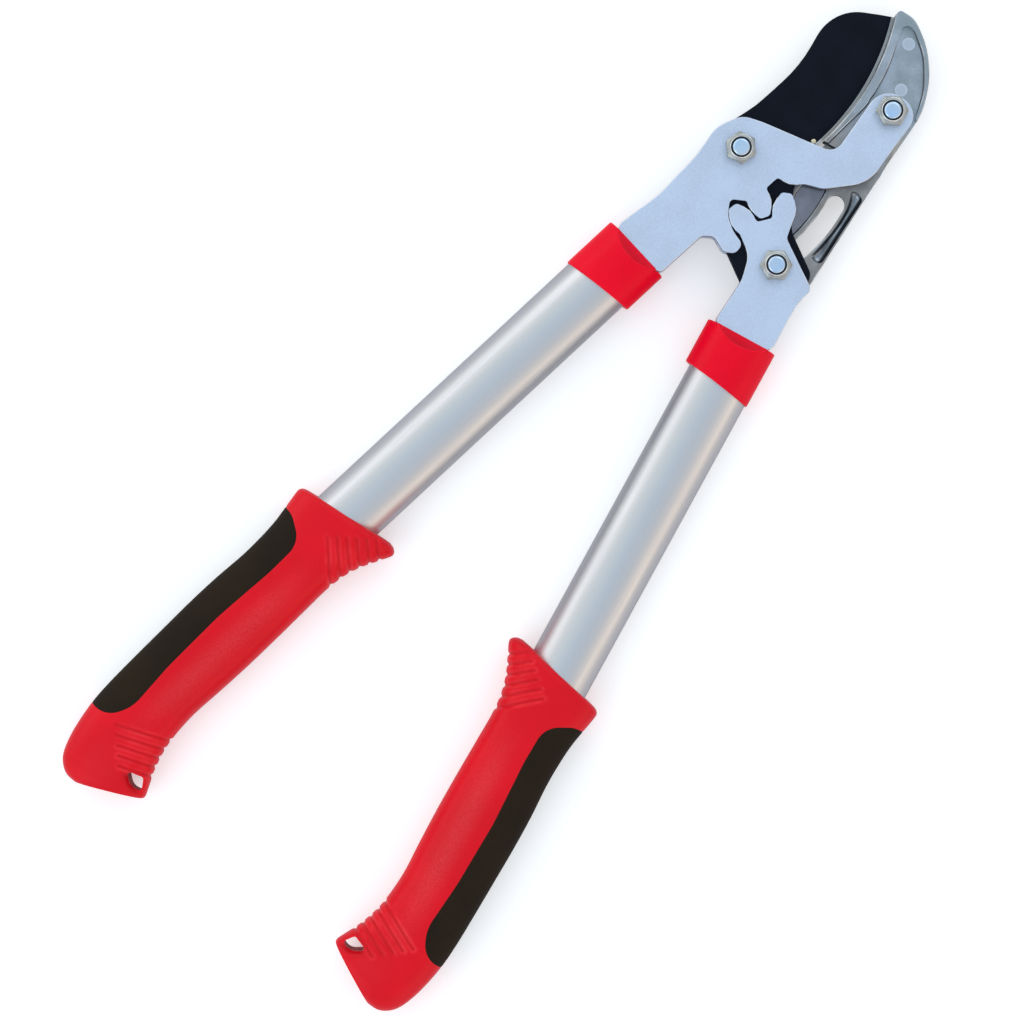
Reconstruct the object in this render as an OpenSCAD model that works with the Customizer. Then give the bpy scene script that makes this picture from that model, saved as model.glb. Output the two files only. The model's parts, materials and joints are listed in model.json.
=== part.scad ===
// Geared anvil lopper, lying on its back with the jaws closed.
// The origin is the main pivot, on the flat face of its bolt head. +X points to the jaws
// along the line that halves the angle between the handles, and +Z is the front.

/* [Linkage] */
// Distance from the main pivot to the gear pivot
gear_centres = 56.2; // [53:0.1:60]
// Angle that each handle turns from closed to fully open
open_angle = 42; // [20:1:42]
// Angle between each handle and the centre line when the jaws are closed
handle_angle = 9.2; // [8:0.1:11]

/* [Blade] */
// Distance from the main pivot to the blade's tip, along the centre line
blade_len = 91.5; // [88:0.5:95]
// Thickness of the blade
blade_t = 4; // [3:0.1:5]
// Radius of the curved cutting edge
edge_r = 110.3; // [105:0.1:118]
// Depth of the cutting edge below the main pivot
edge_drop = 29.2; // [28:0.1:30]
// Width of the long bevel behind the edge
bevel_w = 7; // [4:0.5:9]
// Thickness left at the cutting edge
edge_t = 0.5; // [0.3:0.1:1]

/* [Anvil jaw] */
// Thickness of the slotted arm
arm_t = 4; // [3:0.1:5]
// Height that the jaw's rims stand above its pockets
rim_h = 3.2; // [2:0.1:4]
// Width of the rims beside the slot and along the arm's lower edge
slot_rim = 1.6; // [1.2:0.1:2]
// Depth of the recesses in the arm
recess_d = 1.2; // [0.6:0.1:2]

/* [Plates] */
// Thickness of each pressed plate
plate_t = 3.5; // [2.5:0.1:4.5]
// Width of the plates at their shoulders
shoulder_w = 29.4; // [28:0.1:30]
// Width of the tangs inside the tubes
tang_w = 17; // [14:0.5:17.5]
// Length of the tangs behind the collars' mouths
tang_len = 44; // [38:1:60]
// Length of the plates' arm beyond the anvil pivot
arm_end = 8; // [7.5:0.1:9]
// Half width of the plates' arm at the anvil pivot
arm_half = 10.6; // [10:0.1:11]

/* [Pivot bolts] */
// Diameter of the bolts
bolt_d = 8; // [6:0.5:9]
// Width across the flats of heads and nuts
hex_af = 13; // [11:0.5:14]
// Height of a bolt's head
head_h = 5.3; // [4:0.1:6]
// Thickness of the washers under the heads
washer_t = 1.6; // [1:0.1:2.5]
// Diameter of the washers
washer_d = 17; // [15:0.5:18]
// Height of the hexagon of a lock nut
nut_h = 5.6; // [4:0.1:7]
// Height of the round collar on a lock nut
nut_ring_h = 2.2; // [1.5:0.1:3]

/* [Tubes] */
// Width of the oval tubes
tube_w = 31.4; // [30:0.1:31.6]
// Thickness of the oval tubes
tube_t = 24; // [23:0.5:25]
// Wall of the tubes
tube_wall = 1.5; // [1:0.1:1.8]
// Length of the upper tube in the open, from collar mouth to grip
upper_tube_open = 174.8; // [150:0.1:260]
// Length of the lower tube in the open, from collar mouth to grip
lower_tube_open = 170.4; // [150:0.1:260]
// Length of tube inside the grip
tube_hidden = 110; // [80:1:118]

/* [Collars] */
// Distance from the main pivot to the upper collar's mouth
upper_neck = 66.2; // [66:0.1:72]
// Distance from the gear pivot to the lower collar's mouth
lower_neck = 35.8; // [35.5:0.1:40]
// Wall of the collars
collar_wall = 1.75; // [1.6:0.05:3]
// Length of a collar on its outer side
collar_len = 27.6; // [26:0.1:34]
// Slant of a collar's rear end
collar_slant = 9; // [0:1:12]

/* [Grips] */
// Length of the grips
grip_len = 182; // [175:1:200]
// Plastic beside the tube, on each edge of the grip's middle
grip_side = 4.1; // [3.8:0.1:6]
// Plastic over the tube, on the grip's front and back
grip_cover = 2.7; // [2.5:0.1:4]
// Depth of the soft insert in the grip
insert_d = 1.6; // [1:0.1:1.7]
// Depth of the ribs' grooves
groove_d = 1; // [0.5:0.1:1.5]

/* [Clearances] */
// Radial clearance of holes on the bolts
pin_fit = 0.05; // [0.02:0.01:0.1]
// Gap between the layers of the head
layer_gap = 0.2; // [0.1:0.05:0.4]
// Gap between the cutting edge and the anvil
bite_gap = 0.3; // [0.2:0.05:0.6]
// Play of the bolt in the anvil's slot, each side
slot_play = 0.4; // [0.3:0.05:0.6]
// Play between the gear teeth, each flank
tooth_play = 0.35; // [0.25:0.05:0.6]
// Clearance of plastic on the tubes
tube_fit = 0.15; // [0.1:0.05:0.3]

/* [Hidden] */
$fn = 96;
cut = 1;

// Directions from the main pivot, in degrees
gear_dir = 234.54;
anvil_dir = -38.5;
// The anvil pivot's distance follows the blade's length
anvil_reach_share = 0.7792;
anvil_reach = blade_len * anvil_reach_share;
// Share of the handle's turn that the anvil makes
anvil_turn_share = 0.86;
main_at = [0, 0];
gear_at = polar(gear_centres, gear_dir);
anvil_at = polar(anvil_reach, anvil_dir);

// Layers, from the back to the front
rear_z = washer_t + head_h;
gap_z = rear_z + plate_t;
arm_z = gap_z + layer_gap;
blade_z = arm_z + arm_t + layer_gap;
front_z = blade_z + blade_t + layer_gap;
nut_z = front_z + plate_t;
mid_z = (rear_z + nut_z) / 2;
gap_t = front_z - gap_z;

// Plastic pieces follow the tubes
collar_w = tube_w + collar_wall * 2;
collar_t = tube_t + collar_wall * 2;
grip_w = tube_w + grip_side * 2;
grip_t = tube_t + grip_cover * 2;

// Handle axes, measured outwards from the pivots
upper_offset = -0.6;
lower_offset = 3.1;

// Gear teeth
tooth_count = 8;
pressure_angle = 25;
gear_phase = 3;
pitch_r = gear_centres / 2;
base_r = pitch_r * cos(pressure_angle);
tooth_tip_share = 1.2;
tip_r = pitch_r * tooth_tip_share;
root_r = gear_centres - tip_r - tooth_play * 2;
tooth_step = 360 / tooth_count;
tip_round = 2.2;
root_round = 1.6;

// Corner points of the plates, as shares of the distance between the gear's centres:
// along X, along Y and the radius of the corner
upper_crown_shares = [
    [-0.71, 0.294, 0.7],
    [-0.25, 0.246, 1.07],
    [0.01, 0.266, 0.27],
    [0.218, 0.155, 0.18],
    [0.278, 0, 1.07],
    [0.395, -0.452, 0.25],
    [0.446, -0.632, 0.25]
];
upper_arm_shares = [
    [0.712, -0.988, 1.4],
    [0.418, -1.002, 0.32],
    [0.148, -0.733, 0.2]
];
finger_shares = [
    [-0.381, -0.185, 0.04],
    [-0.504, -0.262, 0.18],
    [-0.569, -0.367, 0.21],
    [-0.609, -0.496, 0.057],
    [-0.705, -0.498, 0.07],
    [-0.754, -0.409, 0.07],
    [-0.701, -0.276, 0.06],
    [-0.758, -0.189, 0.06]
];
lower_right_shares = [
    [-0.349, -0.749, 0.045],
    [-0.555, -1.167, 0.06],
    [-0.725, -1.146, 1]
];
lower_left_shares = [
    [-0.854, -0.673, 0.35],
    [-0.651, -0.591, 0.21]
];
// The blade's tail follows the gear's centres, and its back the blade's length
tail_shares = [
    [-0.25, 0.205, 0.21],
    [-0.534, -0.045, 0.25],
    [-0.95, -0.833, 0.25],
    [-0.8, -1.11, 0.21],
    [-0.463, -1.107, 0.107],
    [-0.274, -0.747, 0.18],
    [0, -0.552, 0.14],
    [0.196, -0.509, 0.07]
];
back_shares = [
    [0.887, -0.006, 0.25],
    [0.758, 0.055, 0.25],
    [0.514, 0.019, 0.77],
    [0.219, 0.072, 0.55],
    [0.022, 0.142, 0.13]
];
// The jaw's outer side and its pocket follow the blade's length
jaw_shares = [
    [1.04, -0.206, 0.036],
    [1.052, -0.29, 0.12],
    [0.977, -0.43, 0.44],
    [0.857, -0.539, 0.44],
    [0.72, -0.604, 0.44],
    [0.648, -0.618, 0.02]
];
pocket_shares = [
    [0.2, -0.318, 0.05],
    [0.437, -0.35, 0.33],
    [0.568, -0.371, 0.44],
    [0.765, -0.342, 0.66],
    [0.99, -0.264, 0.027],
    [1.012, -0.311, 0.033],
    [0.934, -0.443, 0.33],
    [0.792, -0.553, 0.33],
    [0.655, -0.603, 0.022],
    [0.61, -0.75, 0],
    [0.2, -0.75, 0]
];
mark_shares = [[0.936, -0.345], [0.73, -0.457]];
mark_d = 6.2;
mark_h = 0.12;
// The arm of the anvil follows the gear's centres
arm_shares = [
    [-0.525, -1.14, 0.09],
    [-0.78, -1, 0.18],
    [-0.77, -0.66, 0.16],
    [-0.42, -0.61, 0.3],
    [-0.05, -0.535, 0.2]
];
well_shares = [
    [0.33, -0.56, 0.05],
    [-0.02, -0.585, 0.1],
    [-0.25, -0.68, 0.1]
];
// Where the edge's arc is lowest, where it ends under the plates, and where the anvil's face
// starts and ends
edge_station_share = 0.4865;
heel_share = 0.16;
heel_spare = 0.5;
tip_spare = 3;
face_heel_share = 0.288;
face_tip_share = 1.008;
// Where the jaw's thick web ends along the arm, and where the channel and well start and end
web_end_share = 0.322;
channel_shares = [0.49, 0.86];
channel_turn_shares = [0.42, 1.08];
well_turn_shares = [0.36, 1.15];
well_rim_share = 1.6;
slot_w = bolt_d + slot_play * 2;
slot_spare = 1.5;

// Details of the metal and plastic pieces
hole_d = bolt_d + pin_fit * 2;
spacer_d = 20;
head_chamfer = 0.6;
nut_ring_d = 11;
bolt_end = 0.5;
arm_round_share = 0.8;
shoulder_round = 3.5;
shoulder_lead = 2;
upper_sag = 1.7;
lower_sag = 0.6;
tang_lead = 4;
tang_round = 2;
block_lead = 1;
rivet_d = 6;
rivet_back = 11;
rivet_sink = 0.4;
end_r_share = 0.32;
tube_lead = 5;
mouth_fit = 0.4;
mouth_len = 5.4;
collar_shift = -0.8;
groove_w = 2.2;
tube_stop = 0.1;

// Stations of the grip, from guard to butt: outer edge along and out, inner edge along and out,
// as shares of the length and of the width, and the thickness as a share
grip_shares = [
    [0.064, 0.536, 0.002, -0.568, 0.8],
    [0.069, 0.581, 0.005, -0.647, 0.93],
    [0.08, 0.609, 0.019, -0.697, 0.99],
    [0.104, 0.593, 0.05, -0.641, 1],
    [0.143, 0.556, 0.099, -0.545, 1],
    [0.181, 0.525, 0.143, -0.49, 1],
    [0.231, 0.505, 0.198, -0.465, 1],
    [0.297, 0.497, 0.275, -0.472, 1],
    [0.385, 0.513, 0.374, -0.485, 1],
    [0.473, 0.513, 0.473, -0.492, 1],
    [0.571, 0.5, 0.571, -0.487, 1],
    [0.67, 0.485, 0.659, -0.477, 1],
    [0.758, 0.467, 0.731, -0.505, 1],
    [0.824, 0.437, 0.78, -0.553, 1],
    [0.885, 0.379, 0.83, -0.639, 0.97],
    [0.934, 0.308, 0.865, -0.725, 0.92],
    [0.97, 0.225, 0.887, -0.78, 0.86],
    [0.99, 0.126, 0.894, -0.79, 0.83],
    [0.999, 0.02, 0.899, -0.787, 0.78],
    [0.997, -0.1, 0.902, -0.775, 0.72]
];
grip_sides = 20;
grip_power = 2.5;
// Outline of the soft insert, and the hang hole, in shares of length and width
insert_shares = [
    [0.133, 0.75, 0],
    [0.133, 0.44, 0.25],
    [0.167, 0.14, 0.38],
    [0.27, 0.125, 1],
    [0.44, 0.155, 3],
    [0.62, 0.125, 2],
    [0.756, 0.062, 0.5],
    [0.821, 0.2, 0.5],
    [0.836, 0.75, 0]
];
hang_shares = [
    [0.878, -0.405, 0.035],
    [0.859, -0.618, 0.035],
    [0.887, -0.718, 0.035],
    [0.907, -0.61, 0.2],
    [0.905, -0.44, 0.2]
];
// Grooves: start and end along and out, in the same shares
guard_grooves = 6;
guard_first_shares = [0.02, -0.44, 0.055, -0.66];
guard_last_shares = [0.105, -0.03, 0.185, -0.47];
end_grooves = 5;
end_first_shares = [0.75, -0.5, 0.815, 0.04];
end_last_shares = [0.845, -0.66, 0.882, -0.33];

// Points and directions
function polar(r, a) = [r * cos(a), r * sin(a)];
function turned(p, a) = [p.x * cos(a) - p.y * sin(a), p.x * sin(a) + p.y * cos(a)];
function unit(v) = v / norm(v);
function sized(shares, size) = [for (s = shares) s * size];

// The arc that rounds corner b between a and c, no larger than its sides allow
corner_step = 6;
function corner(a, b, c, r) =
    let (
        to_a = unit(a - b),
        to_c = unit(c - b),
        half = acos(max(-1, min(1, to_a * to_c))) / 2,
        reach = min(r / tan(half), norm(a - b) / 2, norm(c - b) / 2),
        arc_r = reach * tan(half),
        centre = b + unit(to_a + to_c) * arc_r / sin(half),
        from_c = b + to_a * reach - centre,
        bend = 180 - 2 * half,
        side = sign(to_c.x * to_a.y - to_c.y * to_a.x),
        steps = max(2, ceil(bend / corner_step))
    )
    [for (i = [0 : steps]) centre + turned(from_c, side * bend * i / steps)];

// An outline of points with a corner radius each
function rounded(points) =
    let (n = len(points))
    [
        for (i = [0 : n - 1])
            let (
                a = points[(i + n - 1) % n],
                b = points[i],
                c = points[(i + 1) % n],
                r = len(b) > 2 ? b[2] : 0
            )
            each r > 0 ? corner([a.x, a.y], [b.x, b.y], [c.x, c.y], r) : [[b.x, b.y]]
    ];

// A point on a handle, from its pivot: u along the handle, w outwards
function upper_at(u, w) = turned([-u, w], -handle_angle);
function lower_at(u, w) = gear_at + turned([-u, -w], handle_angle);

// Half angle of a gear tooth at radius r, with involute flanks down to the base circle
function involute(a) = tan(a) - a * PI / 180;
function roll(r) = acos(min(1, base_r / r));
function half_tooth(r) =
    90 / tooth_count + (involute(pressure_angle) - involute(roll(r))) * 180 / PI
    - tooth_play / pitch_r * 90 / PI;

// One flank of the tooth at angle a, on side 1 or -1, from radius r1 to r2
flank_steps = 4;
function flank(a, side, r1, r2) = [
    for (i = [0 : flank_steps])
        let (r = r1 + (r2 - r1) * i / flank_steps)
        polar(r, a + side * half_tooth(r))
];
function with_round(points, first, last) = [
    for (i = [0 : len(points) - 1])
        [points[i].x, points[i].y, i == 0 ? first : i == len(points) - 1 ? last : 0]
];
function moved(points, by) = [for (p = points) [p.x + by.x, p.y + by.y, p[2]]];

// Outline of the upper plates
upper_tooth = gear_dir + gear_phase;
function tang_end(at, neck, axis, sag) = [
    [each at(neck + tang_len, axis + tang_w / 2), tang_round],
    [each at(neck + tang_lead, axis + tang_w / 2), tang_round],
    [each at(neck - shoulder_lead, axis + shoulder_w / 2 - sag), shoulder_round]
];
function tang_start(at, neck, axis, sag) = [
    [each at(neck - shoulder_lead / 2, axis - shoulder_w / 2 - sag), shoulder_round],
    [each at(neck + tang_lead, axis - tang_w / 2), tang_round],
    [each at(neck + tang_len, axis - tang_w / 2), tang_round]
];
upper_outline = rounded(concat(
    tang_end(function (u, w) upper_at(u, w), upper_neck, upper_offset, upper_sag),
    sized(upper_crown_shares, gear_centres),
    [
        [anvil_at.x + arm_end, anvil_at.y + arm_half, arm_half],
        [anvil_at.x + arm_end, anvil_at.y - arm_half, arm_half * arm_round_share]
    ],
    sized(upper_arm_shares, gear_centres),
    with_round(flank(upper_tooth + tooth_step, -1, tip_r, root_r), tip_round, root_round),
    with_round(flank(upper_tooth, 1, root_r, tip_r), root_round, tip_round),
    with_round(flank(upper_tooth, -1, tip_r, base_r - tip_round / 2), tip_round, root_round),
    sized(finger_shares, gear_centres),
    tang_start(function (u, w) upper_at(u, w), upper_neck, upper_offset, upper_sag)
));

// Outline of the lower plates
lower_valley = gear_dir - 180 - gear_phase;
function lower_tooth(a) = moved(concat(
    with_round(flank(a, -1, root_r, tip_r), root_round, tip_round),
    with_round(flank(a, 1, tip_r, root_r), tip_round, root_round)
), gear_at);
lower_outline = rounded(concat(
    tang_end(function (u, w) lower_at(u, w), lower_neck, lower_offset, lower_sag),
    [for (i = [len(lower_right_shares) - 1 : -1 : 0]) lower_right_shares[i] * gear_centres],
    lower_tooth(lower_valley - tooth_step / 2),
    lower_tooth(lower_valley + tooth_step / 2),
    [for (i = [len(lower_left_shares) - 1 : -1 : 0]) lower_left_shares[i] * gear_centres],
    tang_start(function (u, w) lower_at(u, w), lower_neck, lower_offset, lower_sag)
));

// The cutting edge is an arc that the anvil's face follows
edge_at = [blade_len * edge_station_share, edge_r - edge_drop];
tip_dir = -acos((blade_len - edge_at.x) / edge_r);
heel_dir = -acos((blade_len * heel_share - edge_at.x) / edge_r);
face_heel_dir = -acos((blade_len * face_heel_share - edge_at.x) / edge_r);
face_tip_dir = -acos((blade_len * face_tip_share - edge_at.x) / edge_r);
arc_steps = 24;
function edge_arc(r, a1, a2) = [
    for (i = [0 : arc_steps]) edge_at + polar(r, a1 + (a2 - a1) * i / arc_steps)
];
blade_outline = rounded(concat(
    edge_arc(edge_r + cut / 2, heel_dir, tip_dir),
    sized(back_shares, blade_len),
    sized(tail_shares, gear_centres)
));

// The slot is the path of the gear pivot, seen from the anvil, as the handles open
function slot_point(turn) =
    anvil_at + turned(gear_at - turned(anvil_at, -turn), anvil_turn_share * turn);
function slot_normal(turn) =
    let (way = unit(slot_point(turn + 1) - slot_point(turn - 1)))
    [-way.y, way.x];
slot_steps = 20;
function slot_side(off, from, to) = [
    for (i = [0 : slot_steps])
        let (turn = from + (to - from) * i / slot_steps)
        slot_point(turn) + slot_normal(turn) * off
];
slot_from = -slot_spare;
slot_to = open_angle + slot_spare;

jaw_end = [jaw_shares[5].x, jaw_shares[5].y] * blade_len;
arm_low = [arm_shares[0].x, arm_shares[0].y] * gear_centres;
jaw_outline = rounded(concat(
    edge_arc(edge_r + bite_gap, face_heel_dir, face_tip_dir),
    sized(jaw_shares, blade_len),
    [jaw_end + (arm_low - jaw_end) * web_end_share + [0, slot_rim / 2]]
));
arm_outline = rounded(concat(
    [edge_at + polar(edge_r + bite_gap + slot_rim, face_heel_dir)],
    [anvil_at],
    [jaw_end + [-slot_rim * 2, slot_rim / 3]],
    sized(arm_shares, gear_centres)
));

module upright(outline, z, t) {
    translate([0, 0, z])
        linear_extrude(t)
            polygon(outline);
}

module bore(at, d, z, t) {
    translate([at.x, at.y, z - cut])
        cylinder(d = d, h = t + cut * 2);
}

// Blade, with a long bevel on both sides of the edge
module blade() {
    color("#16181f")
        difference() {
            upright(blade_outline, blade_z, blade_t);
            translate([edge_at.x, edge_at.y, blade_z + blade_t / 2])
                rotate([0, 0, heel_dir - heel_spare])
                    rotate_extrude(angle = tip_dir - heel_dir + heel_spare + tip_spare)
                        polygon([
                            [edge_r - bevel_w, blade_t / 2],
                            [edge_r, edge_t / 2],
                            [edge_r, -edge_t / 2],
                            [edge_r - bevel_w, -blade_t / 2],
                            [edge_r - bevel_w, -blade_t / 2 - cut],
                            [edge_r + bevel_w, -blade_t / 2 - cut],
                            [edge_r + bevel_w, blade_t / 2 + cut],
                            [edge_r - bevel_w, blade_t / 2 + cut]
                        ]);
            bore(main_at, hole_d, blade_z, blade_t);
            bore(gear_at, hole_d, blade_z, blade_t);
        }
}

// Slot for the gear pivot, through the arm
function slot_end(turn, side) = [
    for (i = [1 : slot_steps - 1])
        slot_point(turn) + turned(slot_normal(turn) * slot_w / 2 * side, -180 * i / slot_steps)
];
slot_path = concat(
    slot_side(slot_w / 2, slot_from, slot_to),
    slot_end(slot_to, 1),
    slot_side(-slot_w / 2, slot_to, slot_from),
    slot_end(slot_from, -1)
);
module slot() {
    upright(slot_path, arm_z - cut, arm_t + cut * 2);
}

// Anvil jaw: rims, web, boss and slotted arm, cast in one piece
module anvil_jaw() {
    web_t = gap_t - layer_gap * 2;
    recess_z = arm_z + arm_t - recess_d;
    channel_turns = channel_turn_shares * open_angle;
    channel_side = slot_side(-slot_w / 2 - slot_rim, channel_turns[0], channel_turns[1]);
    channel = rounded(concat(
        with_round(channel_side, slot_rim, slot_rim),
        [
            for (s = channel_shares)
                [each jaw_end + (arm_low - jaw_end) * s + [0, slot_rim], slot_rim]
        ]
    ));
    well_turns = well_turn_shares * open_angle;
    well = rounded(concat(
        slot_side(slot_w / 2 + slot_rim * well_rim_share, well_turns[1], well_turns[0]),
        [for (i = [len(well_shares) - 1 : -1 : 0]) well_shares[i] * gear_centres]
    ));
    color("#9aa6b2")
        difference() {
            union() {
                difference() {
                    upright(jaw_outline, arm_z - rim_h, web_t + rim_h * 2);
                    for (z = [arm_z - rim_h - cut, arm_z + web_t])
                        upright(rounded(sized(pocket_shares, blade_len)), z, rim_h + cut);
                    for (z = [arm_z - rim_h - cut, arm_z + web_t])
                        translate([anvil_at.x, anvil_at.y, z])
                            cylinder(r = arm_half + layer_gap * 4, h = rim_h + cut);
                }
                upright(arm_outline, arm_z + layer_gap / 2, arm_t - layer_gap / 2);
                for (m = sized(mark_shares, blade_len))
                    translate([m.x, m.y, arm_z + web_t / 2])
                        cylinder(d = mark_d, h = web_t / 2 + mark_h);
            }
            slot();
            upright(channel, recess_z, recess_d + cut);
            upright(well, recess_z, recess_d + cut);
            bore(anvil_at, hole_d, arm_z - rim_h, web_t + rim_h * 2);
        }
}

// Ring behind the blade at the main pivot
module blade_spacer() {
    color("#a9b4c2")
        difference() {
            translate([0, 0, gap_z])
                cylinder(d = spacer_d, h = blade_z - gap_z - layer_gap / 2);
            bore(main_at, hole_d, gap_z, arm_t);
        }
}

module upper_plate(z) {
    color("#b2c8e4")
        difference() {
            upright(upper_outline, z, plate_t);
            bore(main_at, hole_d, z, plate_t);
            bore(anvil_at, hole_d, z, plate_t);
            bore(upper_at(upper_neck + rivet_back, upper_offset), rivet_d + pin_fit * 2, z, plate_t);
        }
}

module lower_plate(z) {
    color("#b2c8e4")
        difference() {
            upright(lower_outline, z, plate_t);
            bore(gear_at, hole_d, z, plate_t);
            bore(lower_at(lower_neck + rivet_back, lower_offset), rivet_d + pin_fit * 2, z, plate_t);
        }
}

module upper_front_plate() { upper_plate(front_z); }
module upper_rear_plate() { upper_plate(rear_z); }
module lower_front_plate() { lower_plate(front_z); }
module lower_rear_plate() { lower_plate(rear_z); }

// Hexagon with its outer corners turned off at the top
module hexagon(h) {
    corner_d = hex_af / cos(30);
    intersection() {
        cylinder(d = corner_d, h = h, $fn = 6);
        union() {
            cylinder(d = corner_d + cut, h = h - head_chamfer);
            translate([0, 0, h - head_chamfer])
                cylinder(d1 = corner_d, d2 = corner_d - head_chamfer * 3, h = head_chamfer);
        }
    }
}

module pivot_bolt(at) {
    color("#c3cedb")
        translate([at.x, at.y, 0]) {
            translate([0, 0, head_h])
                mirror([0, 0, 1])
                    hexagon(head_h);
            translate([0, 0, head_h])
                cylinder(d = bolt_d, h = nut_z + nut_h + nut_ring_h + bolt_end - head_h);
        }
}

module pivot_nut(at) {
    color("#c3cedb")
        translate([at.x, at.y, nut_z])
            difference() {
                union() {
                    hexagon(nut_h);
                    translate([0, 0, nut_h])
                        cylinder(d = nut_ring_d, h = nut_ring_h);
                }
                translate([0, 0, -cut])
                    cylinder(d = hole_d, h = nut_h + nut_ring_h + cut * 2);
            }
}

module pivot_washer(at) {
    color("#c3cedb")
        translate([at.x, at.y, head_h])
            difference() {
                cylinder(d = washer_d, h = washer_t);
                translate([0, 0, -cut])
                    cylinder(d = hole_d, h = washer_t + cut * 2);
            }
}

module main_pivot_bolt() { pivot_bolt(main_at); }
module anvil_pivot_bolt() { pivot_bolt(anvil_at); }
module gear_pivot_bolt() { pivot_bolt(gear_at); }
module main_pivot_nut() { pivot_nut(main_at); }
module anvil_pivot_nut() { pivot_nut(anvil_at); }
module gear_pivot_nut() { pivot_nut(gear_at); }
module main_pivot_washer() { pivot_washer(main_at); }
module anvil_pivot_washer() { pivot_washer(anvil_at); }
module gear_pivot_washer() { pivot_washer(gear_at); }

// Puts a handle drawn along +X, with its outer side at +Y, onto its pivot
module on_upper() {
    mirror([0, 1, 0])
        rotate([0, 0, 180 + handle_angle])
            translate([upper_neck, upper_offset, mid_z])
                children();
}

module on_lower() {
    translate([gear_at.x, gear_at.y, 0])
        rotate([0, 0, 180 + handle_angle])
            translate([lower_neck, lower_offset, mid_z])
                children();
}

// Oval of four arcs
module oval(w, t) {
    end_r = t * end_r_share;
    side_r = (pow(w / 2 - end_r, 2) + pow(t / 2, 2) - pow(end_r, 2)) / (t - end_r * 2);
    side_y = side_r - t / 2;
    meet_x = (w / 2 - end_r) * side_r / (side_r - end_r);
    for (side = [-1, 1])
        translate([side * (w / 2 - end_r), 0])
            circle(r = end_r);
    intersection() {
        translate([0, -side_y])
            circle(r = side_r);
        translate([0, side_y])
            circle(r = side_r);
        square([meet_x * 2, t], center = true);
    }
}

// An oval bar along +X
module oval_bar(w, t, from, len) {
    translate([from, 0, 0])
        rotate([90, 0, 90])
            linear_extrude(len)
                oval(w, t);
}

module rivet_hole(d) {
    translate([rivet_back, 0, -tube_t])
        cylinder(d = d, h = tube_t * 2);
}

module tang_block() {
    color("#8e99a6")
        difference() {
            translate([tang_lead + block_lead, -tang_w / 2, -gap_t / 2])
                cube([tang_len - tang_lead - block_lead * 2, tang_w, gap_t]);
            rivet_hole(rivet_d + pin_fit * 2);
        }
}

module rivet() {
    color("#c3cedb")
        translate([rivet_back, 0, -tube_t / 2 + rivet_sink])
            cylinder(d = rivet_d, h = tube_t - rivet_sink * 2);
}

module tube(tube_open) {
    color("#c9d1da")
        difference() {
            oval_bar(tube_w, tube_t, tube_lead, tube_open + tube_hidden - tube_lead);
            oval_bar(tube_w - tube_wall * 2, tube_t - tube_wall * 2, tube_lead - cut,
                tube_open + tube_hidden + cut);
            rivet_hole(rivet_d + pin_fit * 2);
        }
}

// Collar: sloped at the mouth, slanted at the rear
module collar(sag) {
    plate_h = nut_z - rear_z + mouth_fit * 2;
    reach = collar_t;
    color("#e8142c")
        difference() {
            translate([0, collar_shift, 0])
                oval_bar(collar_w, collar_t, 0, collar_len);
            oval_bar(tube_w + tube_fit * 2, tube_t + tube_fit * 2, tube_lead, collar_len);
            translate([0, 0, -plate_h / 2])
                linear_extrude(plate_h)
                    offset(delta = mouth_fit)
                        polygon([
                            [-shoulder_lead * 2, shoulder_w / 2 - sag],
                            [-shoulder_lead, shoulder_w / 2 - sag],
                            [tang_lead, tang_w / 2],
                            [tube_lead + cut, tang_w / 2],
                            [tube_lead + cut, -tang_w / 2],
                            [tang_lead, -tang_w / 2],
                            [-shoulder_lead / 2, -shoulder_w / 2 - sag],
                            [-shoulder_lead * 2, -shoulder_w / 2 - sag]
                        ]);
            for (side = [0, 1])
                mirror([0, 0, side])
                    rotate([90, 0, 0])
                        translate([0, 0, -collar_w])
                            linear_extrude(collar_w * 2)
                                polygon([
                                    [-cut, plate_h / 2 + mouth_fit],
                                    [0, plate_h / 2 + mouth_fit],
                                    [mouth_len, collar_t / 2 + mouth_fit],
                                    [-cut, collar_t / 2 + mouth_fit]
                                ]);
            translate([collar_len, collar_w / 2 + collar_shift, -reach])
                rotate([0, 0, -collar_slant])
                    translate([0, -collar_w * 2, 0])
                        cube([reach, collar_w * 4, reach * 2]);
        }
}

// Points of one grip station: its edges are joined by a soft-cornered oval
function grip_ring(s, inset) =
    let (
        outer = [s[0] * grip_len, s[1] * grip_w],
        inner = [s[2] * grip_len, s[3] * grip_w],
        middle = (outer + inner) / 2,
        half = (outer - inner) / 2 * (1 - inset * 2 / norm(outer - inner)),
        high = s[4] * grip_t / 2 - inset
    )
    [
        for (i = [0 : grip_sides - 1])
            let (
                a = 360 * i / grip_sides,
                across = sign(cos(a)) * pow(abs(cos(a)), 2 / grip_power),
                up = sign(sin(a)) * pow(abs(sin(a)), 2 / grip_power)
            )
            [middle.x + half.x * across, middle.y + half.y * across, high * up]
    ];

// Smooth blend of four neighbouring stations
function blend(a, b, c, d, t) =
    (b * 2 + (c - a) * t + (a * 2 - b * 5 + c * 4 - d) * t * t
    + (b * 3 - a - c * 3 + d) * t * t * t) / 2;
grip_between = 2;
last_station = len(grip_shares) - 1;
grip_stations = [
    for (i = [0 : last_station - 1])
        for (k = [0 : grip_between - 1])
            blend(
                grip_shares[max(0, i - 1)], grip_shares[i], grip_shares[i + 1],
                grip_shares[min(last_station, i + 2)], k / grip_between
            ),
    grip_shares[last_station]
];

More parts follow.
